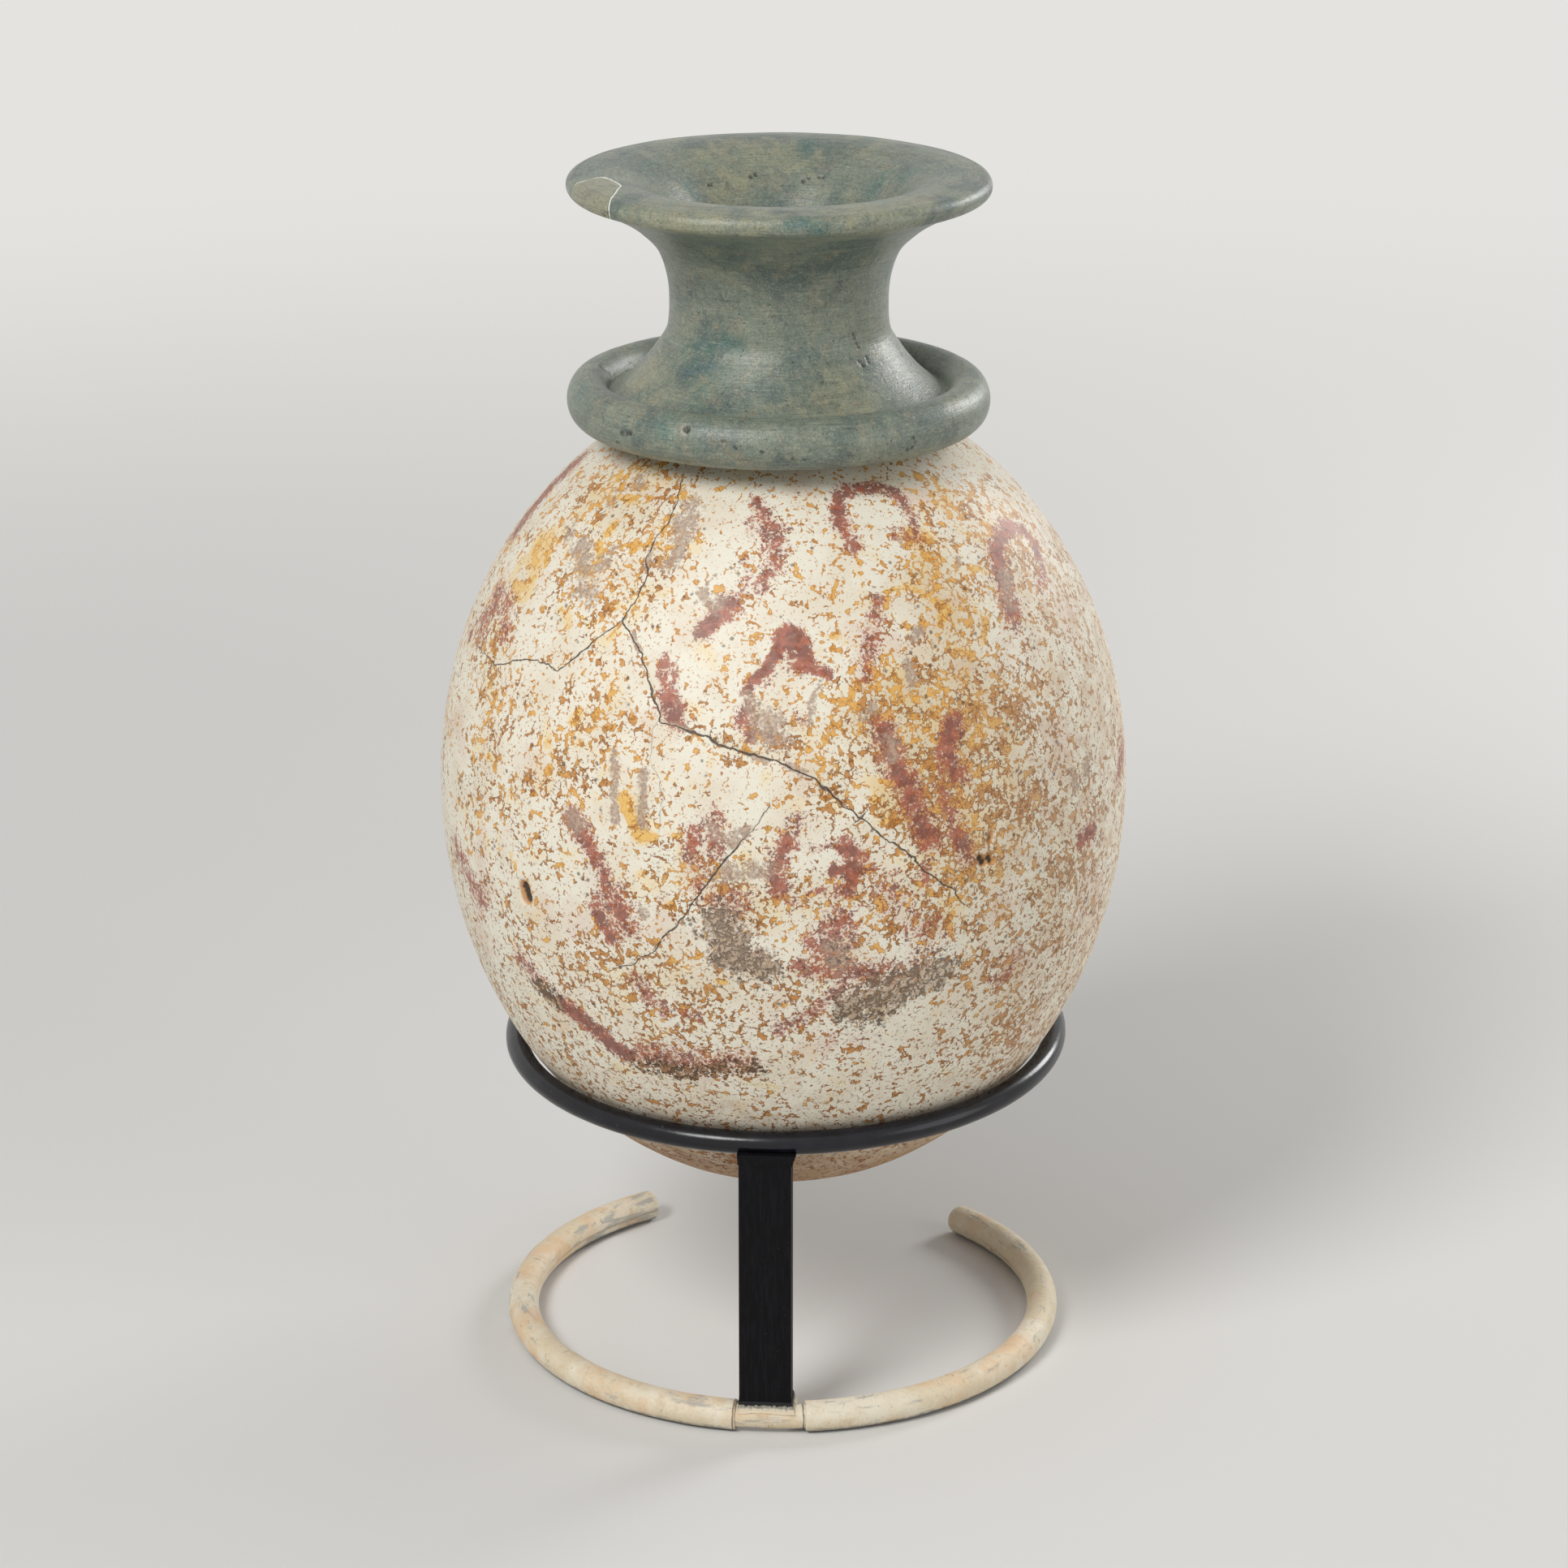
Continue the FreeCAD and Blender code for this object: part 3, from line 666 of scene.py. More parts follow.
def makeEgg():
    bm = spinAround(profileMesh(eggProfile()), egg["steps"])
    tree = BVHTree.FromBMesh(bm)
    spots = spotsOf(bm)
    near = nearCracks(spots, [mainCrack] + sideCracks, tree)[2] < egg["fineByCrack"]
    cutFiner(bm, near | nearStrokes(tree, spots, pits + crusts, egg["fineByPit"], 8))

    # the relief, outside only: cracks that stray a little, pits, crusts and the grain of the shell
    spots = spotsOf(bm)
    heights = spots[:, 2]
    # true on the outside of the shell, false in its hollow
    outside = (
        (spots[:, :2] ** 2).sum(1) / egg["radius"] ** 2
        + ((heights - eggHeight) / egg["halfLength"]) ** 2) > egg["outsideFrom"]
    cracks = {
        "mainCrack": nearCracks(spots, [mainCrack], tree), "sideCrack": nearCracks(spots, sideCracks, tree)}
    closest = np.minimum(cracks["mainCrack"][2], cracks["sideCrack"][2])
    stray = np.zeros(len(spots))
    for index in np.nonzero(closest < egg["strayReach"])[0]:
        stray[index] = lumps(Vector(spots[index]), egg["strayWaves"])
    relief = filled(spots)
    values = {}
    for (name, (side, strength, gap)), share in zip(cracks.items(), (1, egg["sideStray"])):
        side = side + stray * share
        gap = np.where(gap < egg["strayReach"], np.abs(side), gap)
        relief -= egg["crackDepth"] * strength * np.clip(1 - gap / egg["crackReach"], 0, 1)
        values[f"{name}Side"] = side
        values[f"{name}Strength"] = strength * outside
    for pit in pits:
        relief -= strokeField(tree, spots, [pit], 1, 4)
    crust = strokeField(tree, spots, crusts, 1.8, 6) * 2
    pitted = np.clip((eggHeight - egg["pittedBelow"] - heights) / egg["pittedOver"], 0, 1)
    for index, vert in enumerate(bm.verts):
        if outside[index]:
            grain, low = lumps(vert.co, egg["grainWaves"]), pitted[index]
            relief[index] += crust[index] * (0.18 + 0.4 * grain)
            relief[index] -= (egg["skin"] + lumps(vert.co, egg["lumpWaves"])) * (0.3 + low)
            relief[index] -= egg["skin"] * low * max(0, grain)
    for vert, rise in zip(bm.verts, relief * outside):
        vert.co += vert.normal * float(rise)

    # the far side can't be seen, so it wears some of the same marks, turned and fainter
    turned = spots @ np.array(Matrix.Rotation(math.radians(egg["farTurnDeg"]), 3, "Z"), np.float32)
    behind = np.clip(spots[:, 1] / egg["farFade"], 0, 1)
    wideRed = [(radius * 1.1, strength, points) for radius, strength, points in redStrokes]
    farRed = strokeField(tree, turned, wideRed[::2], 1.6) * 0.8 * behind
    thick = strokeField(tree, spots, fleckClouds, 1.4) - strokeField(tree, spots, fleckGaps, 1.4)
    farThick = strokeField(tree, turned, fleckClouds[::2], 1.4) * 0.7 * behind
    # how strongly each pit is marked, for its ochre ring and the painted shade in its middle
    holes = [(radius, min(1, depth * 1.6), points) for radius, depth, points in pits]
    values.update(
        pit=strokeField(tree, spots, holes, 0.9), crust=crust * outside,
        redPaint=np.maximum(strokeField(tree, spots, wideRed, 1.6), farRed) * outside,
        greyPatch=strokeField(tree, spots, greyStrokes, 2.0) * outside,
        yellowStain=strokeField(tree, spots, yellowStrokes, 0.9) * outside,
        fleckDensity=np.maximum(thick, farThick) * outside)
    finishPiece(bm, "eggshell", "rhyton", "eggshell", ["egg_shell"], eggshellPaint(), **values)


eggTones = {
    "cream": (236, 230, 213), "ivory": (230, 220, 199), "haze": (238, 212, 152), "pink": (220, 192, 174),
    "amber": (232, 188, 104), "honey": (226, 172, 82), "ochre": (192, 130, 54), "umber": (138, 88, 42),
    "sootAndPitShade": (66, 52, 40), "tan": (194, 156, 118), "brown": (150, 108, 72), "maroon": (126, 66, 57),
    "brick": (172, 94, 72), "rose": (204, 146, 124), "greyBrown": (190, 167, 147), "taupe": (158, 134, 116),
    "crack": (62, 44, 32), "crackPale": (190, 178, 158), "crumb": (206, 186, 160), "creviceShade": (104, 82, 66),
    "thickWash": (226, 206, 164), "grainWash": (204, 190, 172), "redWash": (222, 206, 200),
    "footGrimeAndShade": (178, 142, 104),
}


def mottle(paint, value, edge, soft, fill, rim, strength):
    # a stain where the value is over the edge, with a darker line round it
    paint.lay(fill, value.ramp(edge, edge + soft) * strength)
    line = 1 - (value - (edge + soft * 0.7)).size().ramp(soft * 0.4, soft * 1.9)
    paint.lay(rim, line * strength)


def eggshellPaint():
    paint = Paint("eggshell", eggTones)
    upright = paint.axis("Z")
    low = 1 - upright.ramp(eggHeight - 46, eggHeight - 2)
    high = upright.ramp(eggHeight + 4, eggHeight + 44)
    side = paint.axis("X").ramp(26, 60)
    density = paint.saved("fleckDensity")
    amount = density * 0.22 + (paint.noise(13, 2, shift=3) - 0.5) * 0.4 + side * 0.05 - 0.02

    # bare shell
    fine = paint.noise(0.4, 3, 0.7, shift=39)
    yellow = paint.saved("yellowStain")
    paint.colour = paint.mix("cream", "ivory", paint.noise(9, 3, shift=11).ramp(0.42, 0.66))
    paint.lay("pink", (paint.noise(12, 3, shift=23) + side * 0.05).ramp(0.57, 0.72) * 0.4)
    hazy = paint.noise(6, 3, 0.6, shift=31) + amount * 0.4 + yellow * 0.42
    paint.lay("haze", hazy.ramp(0.55, 0.74) * (0.5 - side * 0.3))
    paint.lay("amber", yellow * hazy.ramp(0.6, 0.8) * 0.65)
    paint.lay("thickWash", density.ramp(0.3, 1.0) * (0.5 - side * 0.3), "MULTIPLY")
    paint.lay("tan", side * paint.noise(4, 3, 0.65, shift=37).ramp(0.42, 0.66) * 0.5)
    paint.lay("grainWash", fine.ramp(0.5, 0.72) * (0.14 + low * 0.3), "MULTIPLY")

    # stains and flecks fill the corners between round bubbles, and where they crowd they join to a net
    warm = paint.noise(5, 3, 0.6, shift=73)
    golden = (warm + density * 0.02 + low * 0.08 - high * 0.05).ramp(0.44, 0.56)
    earthy = (warm + density * 0.1 + low * 0.2 - high * 0.1).ramp(0.43, 0.58)
    amber = paint.mix("amber", "tan", side * 0.8)
    fill = paint.mix(paint.mix("honey", "ochre", golden), "tan", side * 0.8)
    dark = paint.mix(paint.mix("ochre", "umber", earthy), "brown", side * 0.7)
    wander = paint.noise(1.9, 2, 0.6, shift=51, out="Color")
    bubbly, curled = (
        paint.vector("ADD", paint.place, paint.vector("SCALE", wander, Scale=reach)) for reach in (3.2, -2.4))
    patchy = paint.noise(1.5, 2, 0.6, shift=53) - 0.5
    stain = yellow * 0.4 + paint.cells(2.6, bubbly) * 0.5 + amount * 0.22 + patchy * 0.35
    wide = paint.cells(1.75, bubbly) + patchy * 1.2 + amount - low * 0.03
    small = paint.cells(1.05, curled) + (warm - 0.5) * 0.5 - patchy * 0.8 + amount * 0.8 + low * 0.06
    mottle(paint, stain, 0.545, 0.025, amber, fill, 0.8)
    mottle(paint, wide, 0.83, 0.035, fill, dark, 0.92)
    mottle(paint, small, 0.81, 0.06, fill, dark, 0.9)
    pepper = paint.noise(0.5, 1, shift=79) + amount * 0.12
    paint.lay(dark, pepper.ramp(0.65, 0.69) * 0.7)
    sooty = (paint.noise(4, 2, shift=83) + density * 0.14).ramp(0.58, 0.64)
    paint.lay("sootAndPitShade", paint.specks(1.9, 0.12, 0.26) * sooty * 0.7)

    # worn paint
    grit = paint.noise(0.55, 2, 0.7, shift=61) - 0.5
    broad = paint.noise(1.9, 4, 0.7, 0.4, shift=63) - 0.5
    red = paint.saved("redPaint")
    cover = (red + grit * 1.9 + broad * 1.9).ramp(0.42, 0.58) * red.ramp(0.02, 0.16)
    hue = paint.noise(2.0, 3, shift=89) + red * 0.12
    redTone = paint.mix("brick", "maroon", hue.ramp(0.5, 0.66))
    redTone = paint.mix(redTone, "taupe", paint.noise(3.0, 3, 0.6, shift=91).ramp(0.58, 0.68) * 0.4)
    redTone = paint.mix(redTone, "redWash", fine.ramp(0.44, 0.6), "MULTIPLY")
    paint.lay("rose", (red + broad * 0.8).ramp(0.15, 0.9) * 0.5)
    paint.lay(redTone, cover * 0.84)
    grey = paint.saved("greyPatch")
    greyCover = (grey + broad * 1.7 + grit * 0.9).ramp(0.3, 0.64) * grey.ramp(0.02, 0.2)
    greyTone = paint.mix("greyBrown", "taupe", (grit + fine - 0.5).ramp(-0.08, 0.12))
    paint.lay(greyTone, greyCover * 0.85)

    # crumbly crusts with painted shade in their crevices, the worn, pitted foot of the egg, and painted shade
    # with grime below the ring
    crust = paint.saved("crust")
    crumbs = paint.cells(1.0, bubbly)
    cleft = crumbs.ramp(0.46, 0.72).most(paint.noise(2.4, 3, 0.6, 0.8, shift=99).ramp(0.56, 0.62))
    crustCover = (crust + broad * 2.2 + grit * 1.3).ramp(0.42, 0.7) * crust.ramp(0.02, 0.2)
    paint.lay(paint.mix("crumb", "brown", low), crustCover * (0.4 + low))
    # painted shade in the crusts' crevices, deeper low on the egg
    paint.lay("creviceShade", crustCover * cleft * (0.5 + low * 0.6))
    holes = paint.specks(1.3, 0.12, 0.26, bubbly) * low * patchy.ramp(-0.04, 0.06)
    paint.lay("umber", holes * 0.6)
    # painted shade with some grime: the egg darker and browner below the ring, towards its foot
    bottom = 1 - (upright + (warm - 0.5) * 30).ramp(eggFloor + 8, eggFloor + 38)
    paint.lay("footGrimeAndShade", bottom * 0.9, "MULTIPLY")
    # an ochre ring round each pit, and painted shade darkening its middle
    pit = paint.saved("pit") * (broad * 1.6 + 1)
    paint.lay("ochre", pit.ramp(0.05, 0.4) * 0.8)
    paint.lay("sootAndPitShade", pit.ramp(0.45, 0.9))

    # cracks: a pale lip with a dark line in it
    height = fine * 0.02 - wide.ramp(0.81, 0.89) * 0.015 - holes * 0.14 - crustCover * (crumbs + cleft) * 0.3
    height = height + low * paint.noise(0.9, 3, 0.7, shift=109) * 0.16 + cover * 0.012
    shake = (paint.noise(0.7, 3, 0.7, shift=113) - 0.5) * 0.45
    for name in ("mainCrack", "sideCrack"):
        strength = paint.saved(f"{name}Strength")
        gap = paint.saved(f"{name}Side") + shake
        shown = strength.ramp(0.05, 0.5) * (patchy + strength * 0.25).ramp(-0.14, 0.02)
        lip = 1 - (gap.size() - strength * 0.16).ramp(0.0, 0.14)
        slit = 1 - ((gap - strength * 0.04).size() - strength * 0.15).ramp(-0.04, 0.07)
        paint.lay("crackPale", lip * strength.ramp(0.05, 0.7) * 0.5)
        paint.lay("crack", slit * shown * 0.9)
        height = height - slit * shown * 0.16
    return paint.finish(0.46 + fine * 0.1 + crustCover * 0.3 + low * 0.16 - cover * 0.04, 0.4, height)


makeEgg()


# the mouthpiece, in its own frame: its zero is the middle of the rolled rim
spool = {
    "bore": 10.5, "stubRadius": 14.5, "stubReach": 6.0, "flange": 38.4, "rollWidth": 8.0, "rollHeight": 9.4,
    "seat": 27.0, "seatDrop": 3.6, "bedding": 1.85, "waist": 19.85, "waistHeight": 18.5, "lip": 38.25,
    "lipHeight": 39.2, "lipThickness": 4.0, "boreTop": 19.0, "creaseDeg": 160.0, "offset": -0.9,
    "leanDeg": 2.65, "steps": 360, "rollSteps": 30, "lipSteps": 14, "upperSteps": 46, "lowerSteps": 40,
    "funnelSteps": 60, "undersideSteps": 14, "seatSteps": 8, "stubSteps": 6, "boreSteps": 18,
    "breakStartDeg": 200.0, "breakEndDeg": 226.5, "breakSteps": 60, "breakSpare": 3.0, "glue": 0.45,
    "glueSink": 0.12, "glueRise": 0.014, "glueWaves": ((0.9, 0.14),), "fineByPit": 0.6, "skin": 0.07,
    "waves": ((9, 0.06), (3, 0.02)),
}
# Curves are shares of the way from one end to the other: (across, up).
upperFlare = [(0.107, 0.455), (0.36, 0.70), (0.64, 0.86)]
lowerFlare = [(0.033, 0.314), (0.163, 0.473), (0.414, 0.692), (0.71, 0.882)]
funnelCurve = [(0.146, -0.016), (0.32, 0.01), (0.476, 0.09), (0.67, 0.30), (0.845, 0.617)]
# The break of the lip: (share of the way round, share of the lip's radius).
breakCurve = [(-0.10, 0.95), (-0.19, 0.84), (-0.02, 0.805), (0.30, 0.80), (0.50, 0.845), (0.68, 0.905)]


def eggTopAt(radius):
    return eggHeight + egg["upperLength"] * math.sqrt(1 - (radius / egg["radius"]) ** 2)


flangeHeight = eggTopAt(spool["seat"]) + spool["bedding"] + spool["seatDrop"]
spoolPlace = (
    Matrix.Translation((spool["offset"], 0, flangeHeight))
    @ Matrix.Rotation(math.radians(-spool["leanDeg"]), 4, "X"))


def curve(start, shares, end, startWay, endWay, steps):
    middle = [(start[0] + a * (end[0] - start[0]), start[1] + b * (end[1] - start[1])) for a, b in shares]
    return throughPoints([start] + middle + [end], startWay, endWay, steps)


def spoolProfile():
    rollAcross, rollUp = spool["rollWidth"] / 2, spool["rollHeight"] / 2
    edge = spool["lipThickness"] / 2
    roll = arc(
        spool["flange"] - rollAcross, 0, rollAcross, rollUp, spool["creaseDeg"], -90, spool["rollSteps"])
    lip = arc(spool["lip"] - edge, spool["lipHeight"], edge, edge, -90, 90, spool["lipSteps"])
    waist, boreTop = (spool["waist"], spool["waistHeight"]), (spool["bore"], spool["boreTop"])
    upper = curve(waist, upperFlare, lip[0], (0, 1), (1, 0.3), spool["upperSteps"])
    lower = curve(waist, lowerFlare, roll[0], (0, -1), (1, -0.24), spool["lowerSteps"])
    funnel = curve(lip[-1], funnelCurve, boreTop, (-1, 0.05), (0, -1), spool["funnelSteps"])
    seatRise = eggTopAt(spool["stubRadius"]) + spool["bedding"] - flangeHeight
    stubEnd = eggTopAt(egg["opening"]) - egg["wall"] - spool["stubReach"] - flangeHeight
    seatOuter, seatInner = (spool["seat"], -spool["seatDrop"]), (spool["stubRadius"], seatRise)
    stubFoot, boreFoot = (spool["stubRadius"], stubEnd), (spool["bore"], stubEnd)
    outline = lip[::-1] + upper[::-1][1:] + lower[1:] + roll[1:]
    outline += straight(roll[-1], seatOuter, spool["undersideSteps"]) + [seatOuter]
    outline += straight(seatOuter, seatInner, spool["seatSteps"]) + [seatInner]
    outline += straight(seatInner, stubFoot, spool["stubSteps"]) + [stubFoot, boreFoot]
    outline += straight(boreFoot, boreTop, spool["boreSteps"])
    return outline + funnel[::-1][:-1]


def headed(deg, reach):
    return Vector((math.cos(math.radians(deg)), math.sin(math.radians(deg)))) * reach


def breakPrism(inset):
    # a block that covers the broken piece of the lip, drawn in by the inset
    startDeg, endDeg, thickness = spool["breakStartDeg"], spool["breakEndDeg"], spool["lipThickness"]
    outside = spool["lip"] + spool["breakSpare"]
    spanDeg = endDeg - startDeg
    corners = [headed(startDeg, outside)]
    corners += [headed(startDeg + spanDeg * along, spool["lip"] * reach) for along, reach in breakCurve]
    corners.append(headed(endDeg, outside))
    middle = headed(startDeg + spanDeg / 2, outside)
    points = [corner + (middle - corner).normalized() * inset for corner in corners]
    line = throughPoints(points, points[1] - points[0], points[-1] - points[-2], spool["breakSteps"])
    line.append(middle * 1.08)
    bm = bmesh.new()
    face = bm.faces.new([bm.verts.new((x, y, spool["lipHeight"] - thickness * 2)) for x, y in line])
    made = bmesh.ops.extrude_face_region(bm, geom=[face])
    risen = [item for item in made["geom"] if isinstance(item, bmesh.types.BMVert)]
    bmesh.ops.translate(bm, verts=risen, vec=(0, 0, thickness * 4))
    bmesh.ops.recalc_face_normals(bm, faces=bm.faces[:])
    return bm


# strokes and pits of the stone, given like those of the egg
tealStrokes = [
    (2.2, 0.8, [(819, 512), (819, 530)]), (2.4, 0.75, [(850, 427), (877, 431), (907, 423)]),
    (2.2, 0.85, [(880, 452), (852, 457)]), (1.8, 0.8, [(862, 480), (862, 496)]),
    (1.6, 0.85, [(971, 279), (990, 274), (1010, 286)]), (1.6, 0.9, [(996, 172), (992, 184)]),
    (3.0, 0.7, [(1085, 221), (1074, 236)]), (2.6, 0.8, [(1138, 209), (1120, 214)]),
    (1.6, 0.6, [(1192, 227), (1180, 232)]), (1.8, 0.8, [(845, 228), (854, 243)]),
    (3.0, 0.6, [(811, 202), (790, 210)]), (2.4, 0.6, [(720, 215), (745, 200)]),
    (2.0, 0.6, [(722, 470), (712, 500)]), (2.0, 0.55, [(1150, 200), (1180, 210)]),
]
khakiStrokes = [
    (4.0, 0.8, [(1050, 262), (1085, 257), (1120, 250)]), (4.0, 0.7, [(800, 262), (860, 272), (920, 276)]),
    (3.6, 0.75, [(1040, 480), (1056, 494), (1010, 500)]), (3.4, 0.7, [(790, 460), (820, 480)]),
    (3.0, 0.7, [(905, 225), (890, 235)]), (5.0, 0.6, [(900, 190), (960, 190)]),
]
stonePits = [
    (0.45, 0.45, [(766, 534), (776, 534)]), (0.5, 0.5, [(845, 528), (846, 530)]),
    (0.3, 0.3, [(890, 544), (892, 545)]), (0.3, 0.3, [(938, 557), (939, 558)]),
    (0.35, 0.35, [(1110, 432), (1111, 436)]), (0.45, 0.4, [(1060, 446), (1063, 449)]),
    (0.35, 0.3, [(1052, 413), (1054, 417)]), (0.4, 0.4, [(990, 223), (996, 219)]),
    (0.3, 0.3, [(1009, 218), (1014, 218)]), (0.4, 0.35, [(925, 218), (931, 215)]),
    (0.35, 0.3, [(873, 228), (876, 228)]), (0.5, 0.35, [(744, 266), (750, 265)]),
    (0.8, 0.3, [(742, 452), (752, 458)]), (0.3, 0.3, [(1056, 424), (1058, 428)]),
    (0.3, 0.3, [(760, 545), (765, 547)]), (0.25, 0.25, [(976, 566), (977, 566)]),
    (0.25, 0.25, [(990, 567), (991, 567)]), (0.35, 0.3, [(1118, 555), (1124, 552)]),
    (0.3, 0.3, [(1068, 440), (1070, 446)]), (0.35, 0.3, [(1126, 540), (1128, 545)]),
    (0.3, 0.25, [(905, 552), (907, 553)]),
]


def alongProfile(spots, outline):
    # how far along the outline each spot lies, for marks that run round the piece
    line = np.array(outline + outline[:1], np.float32)
    steps = line[1:] - line[:-1]
    sizes = np.sqrt((steps**2).sum(1))
    starts = np.cumsum(sizes) - sizes
    flat = np.stack((np.hypot(spots[:, 0], spots[:, 1]), spots[:, 2]), 1)
    best, reach = filled(spots, farAway), filled(spots)
    for corner, step, size, start in zip(line, steps, sizes, starts):
        share = np.clip((flat - corner) @ step / (step @ step), 0, 1)
        gap = ((flat - corner - share[:, None] * step) ** 2).sum(1)
        closer = gap < best
        best = np.where(closer, gap, best)
        reach = np.where(closer, start + share * size, reach)
    return reach


def makeMouthpiece():
    outline = spoolProfile()
    whole = spinAround(profileMesh(outline), spool["steps"])
    whole.transform(spoolPlace)
    tree = BVHTree.FromBMesh(whole)
    cutFiner(whole, nearStrokes(tree, spotsOf(whole), stonePits, spool["fineByPit"], 4))
    pressed = [(radius * 0.8, depth * 0.7, points) for radius, depth, points in stonePits]
    dents = strokeField(tree, spotsOf(whole), pressed, 2.0, 3)
    for vert, dent in zip(whole.verts, dents):
        vert.co -= vert.normal * float(spool["skin"] + lumps(vert.co, spool["waves"]) + dent)
    whole.transform(spoolPlace.inverted())

    broken, chip = breakPrism(0), breakPrism(spool["glue"])
    stone = stonePaint()
    # where the pits are painted dark as painted shade, a little wider than their dents
    darkened = [(radius * 0.7 + depth * 0.6, 1, points) for radius, depth, points in stonePits]
    for name, node, bm in (
            ("mouthpiece", "mouthpiece", joined(whole, broken, "DIFFERENCE")),
            ("lipFragment", "lip_fragment", joined(whole, chip, "INTERSECT"))):
        along = alongProfile(spotsOf(bm), outline)
        bm.transform(spoolPlace)
        spots = spotsOf(bm)
        paler = 0.9 if name == "lipFragment" else 0
        finishPiece(
            bm, name, "rhyton", "mouth_stone", [node], stone, along=along,
            teal=strokeField(tree, spots, tealStrokes, 2.0),
            khaki=np.maximum(strokeField(tree, spots, khakiStrokes, 2.0), paler),
            dirt=strokeField(tree, spots, darkened, 1.4))
    glue = joined(joined(whole, broken, "INTERSECT"), chip, "DIFFERENCE")
    for vert in glue.verts:
        vert.co -= Vector((vert.co.x, vert.co.y, 0)).normalized() * spool["glueSink"]
        if vert.co.z > spool["lipHeight"]:
            vert.co.z += max(0, lumps(vert.co, spool["glueWaves"]) + spool["glueRise"])
    glue.transform(spoolPlace)
    finishPiece(glue, "lipGlue", "rhyton", "glue", ["lip_glue"], gluePaint())


stoneTones = {
    "greyGreen": (124, 133, 118), "slate": (92, 106, 100), "khaki": (158, 156, 127), "teal": (60, 106, 98),
    "blue": (68, 103, 108), "tan": (146, 136, 114), "pale": (188, 190, 170), "dark": (52, 58, 52),
    "dirt": (34, 29, 24),
}


def stonePaint():
    paint = Paint("mouthStone", stoneTones)
    flat = paint.vector("MULTIPLY", paint.place, (0.16, 0.16, 0.0))
    brushed = paint.vector("ADD", flat, paint.spot(0, 0, paint.saved("along") * 2.6))
    wisps = paint.noise(1.0, 4, 0.7, 0.4, place=brushed)
    paint.colour = paint.mix("slate", "greyGreen", paint.noise(11, 5, 0.68, 0.6, shift=3).ramp(0.36, 0.6))
    khaki = paint.saved("khaki") * 0.3 + paint.noise(6, 5, 0.7, 0.8, shift=7)
    paint.lay("khaki", khaki.ramp(0.48, 0.8) * 0.75)
    paint.lay("tan", paint.noise(3.4, 4, 0.7, shift=13).ramp(0.52, 0.7) * 0.6)
    teal = paint.saved("teal") * 0.44 + paint.noise(2.0, 5, 0.75, 0.5, shift=17) * 0.8
    tealTone = paint.mix("teal", "blue", paint.noise(3.2, 2, shift=19).ramp(0.46, 0.6))
    paint.lay(tealTone, teal.ramp(0.5, 0.82) * 0.68)

    # grain, speckle and turning marks: value, width of its edge, share of dark, share of pale
    grain = paint.noise(1.0, 5, 0.82, shift=31)
    speckle = paint.noise(0.36, 3, 0.75, shift=29)
    marks = (grain, 0.18, 0.5, 0.45), (speckle, 0.16, 0.5, 0.36), (wisps, 0.2, 0.42, 0.3)
    for value, width, dark, pale in marks:
        paint.lay("dark", value.ramp(0.52, 0.52 + width) * dark)
        paint.lay("pale", (1 - value).ramp(0.54, 0.54 + width) * pale)

    # grime, and painted shade in the pits with dark specks
    grime = paint.noise(2.2, 4, 0.75, 0.6, shift=33)
    paint.lay("dark", grime.ramp(0.56, 0.7) * 0.42)
    specks = paint.specks(1.4, 0.06, 0.16) * paint.noise(3, 1, shift=37).ramp(0.46, 0.54)
    # painted shade in the pits, with dark specks over the stone
    dirt = (paint.saved("dirt") * (grain * 2.4 - 0.2)).most(specks * 0.7)
    paint.lay("dirt", dirt.ramp(0.25, 0.9) * 0.8)
    height = speckle * 0.05 + wisps * 0.06 + paint.noise(1.4, 3, 0.6, shift=41) * 0.1
    height = height - specks * 0.1 - grime * 0.05
    return paint.finish(0.24 + speckle * 0.12 + (wisps - 0.5) * 0.16 + grain * 0.1, 0.5, height)


def gluePaint():
    paint = Paint("lipGlue", {"white": (236, 234, 224), "dusty": (196, 188, 170)})
    grain = paint.noise(0.5, 2, 0.6)
    paint.colour = paint.mix("white", "dusty", grain.ramp(0.5, 0.7) * 0.6)
    return paint.finish(0.5 + grain * 0.2, 0.4, grain * 0.1)


makeMouthpiece()

# the stand
stand = {
    "tiltDeg": 1.3, "tiltHeadingDeg": 63.0, "ringRod": 2.15, "ringSteps": 300, "facets": 36,
    "footRadius": 49.7, "rod": 2.3, "sleeve": 2.9, "stepsPerDeg": 2.2, "rodShortDeg": 1.6,
    "leftSweepDeg": 145.0, "rightSweepDeg": 141.0, "bareLeft": 5.3, "bareRight": 7.2,
    "ringSkin": 0.02, "ringWaves": ((5, 0.03),), "footSkin": 0.05, "footWaves": ((6, 0.05), (1.5, 0.02)),
    "ragReach": 1.2, "ragEdge": 1.4, "ragWaves": ((1, 0.35),), "ragSizeDeg": 14.0,
    "postEdge": 0.35, "weldWaves": ((0.9, 0.6), (0.35, 0.4)),
}


def middleOf(node):
    low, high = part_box(node)
    return (low + high) / 2 / metre


def makeCradleRing():
    low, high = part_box("cradle_ring")
    rod = stand["ringRod"]
    section = arc((high.x - low.x) / 2 / metre - rod, 0, rod, rod, 0, 360, stand["facets"])[:-1]
    bm = spinAround(profileMesh(section), stand["ringSteps"])
    heading = math.radians(stand["tiltHeadingDeg"])
    axis = Vector((math.sin(heading), -math.cos(heading), 0))
    tilt = Matrix.Rotation(math.radians(stand["tiltDeg"]), 4, axis)
    bm.transform(Matrix.Translation(middleOf("cradle_ring")) @ tilt)
    bm.normal_update()
    for vert in bm.verts:
        vert.co -= vert.normal * (stand["ringSkin"] + lumps(vert.co, stand["ringWaves"]))
    finishPiece(bm, "cradleRing", "stand", "cradle_paint", ["cradle_ring"], ringPaint())


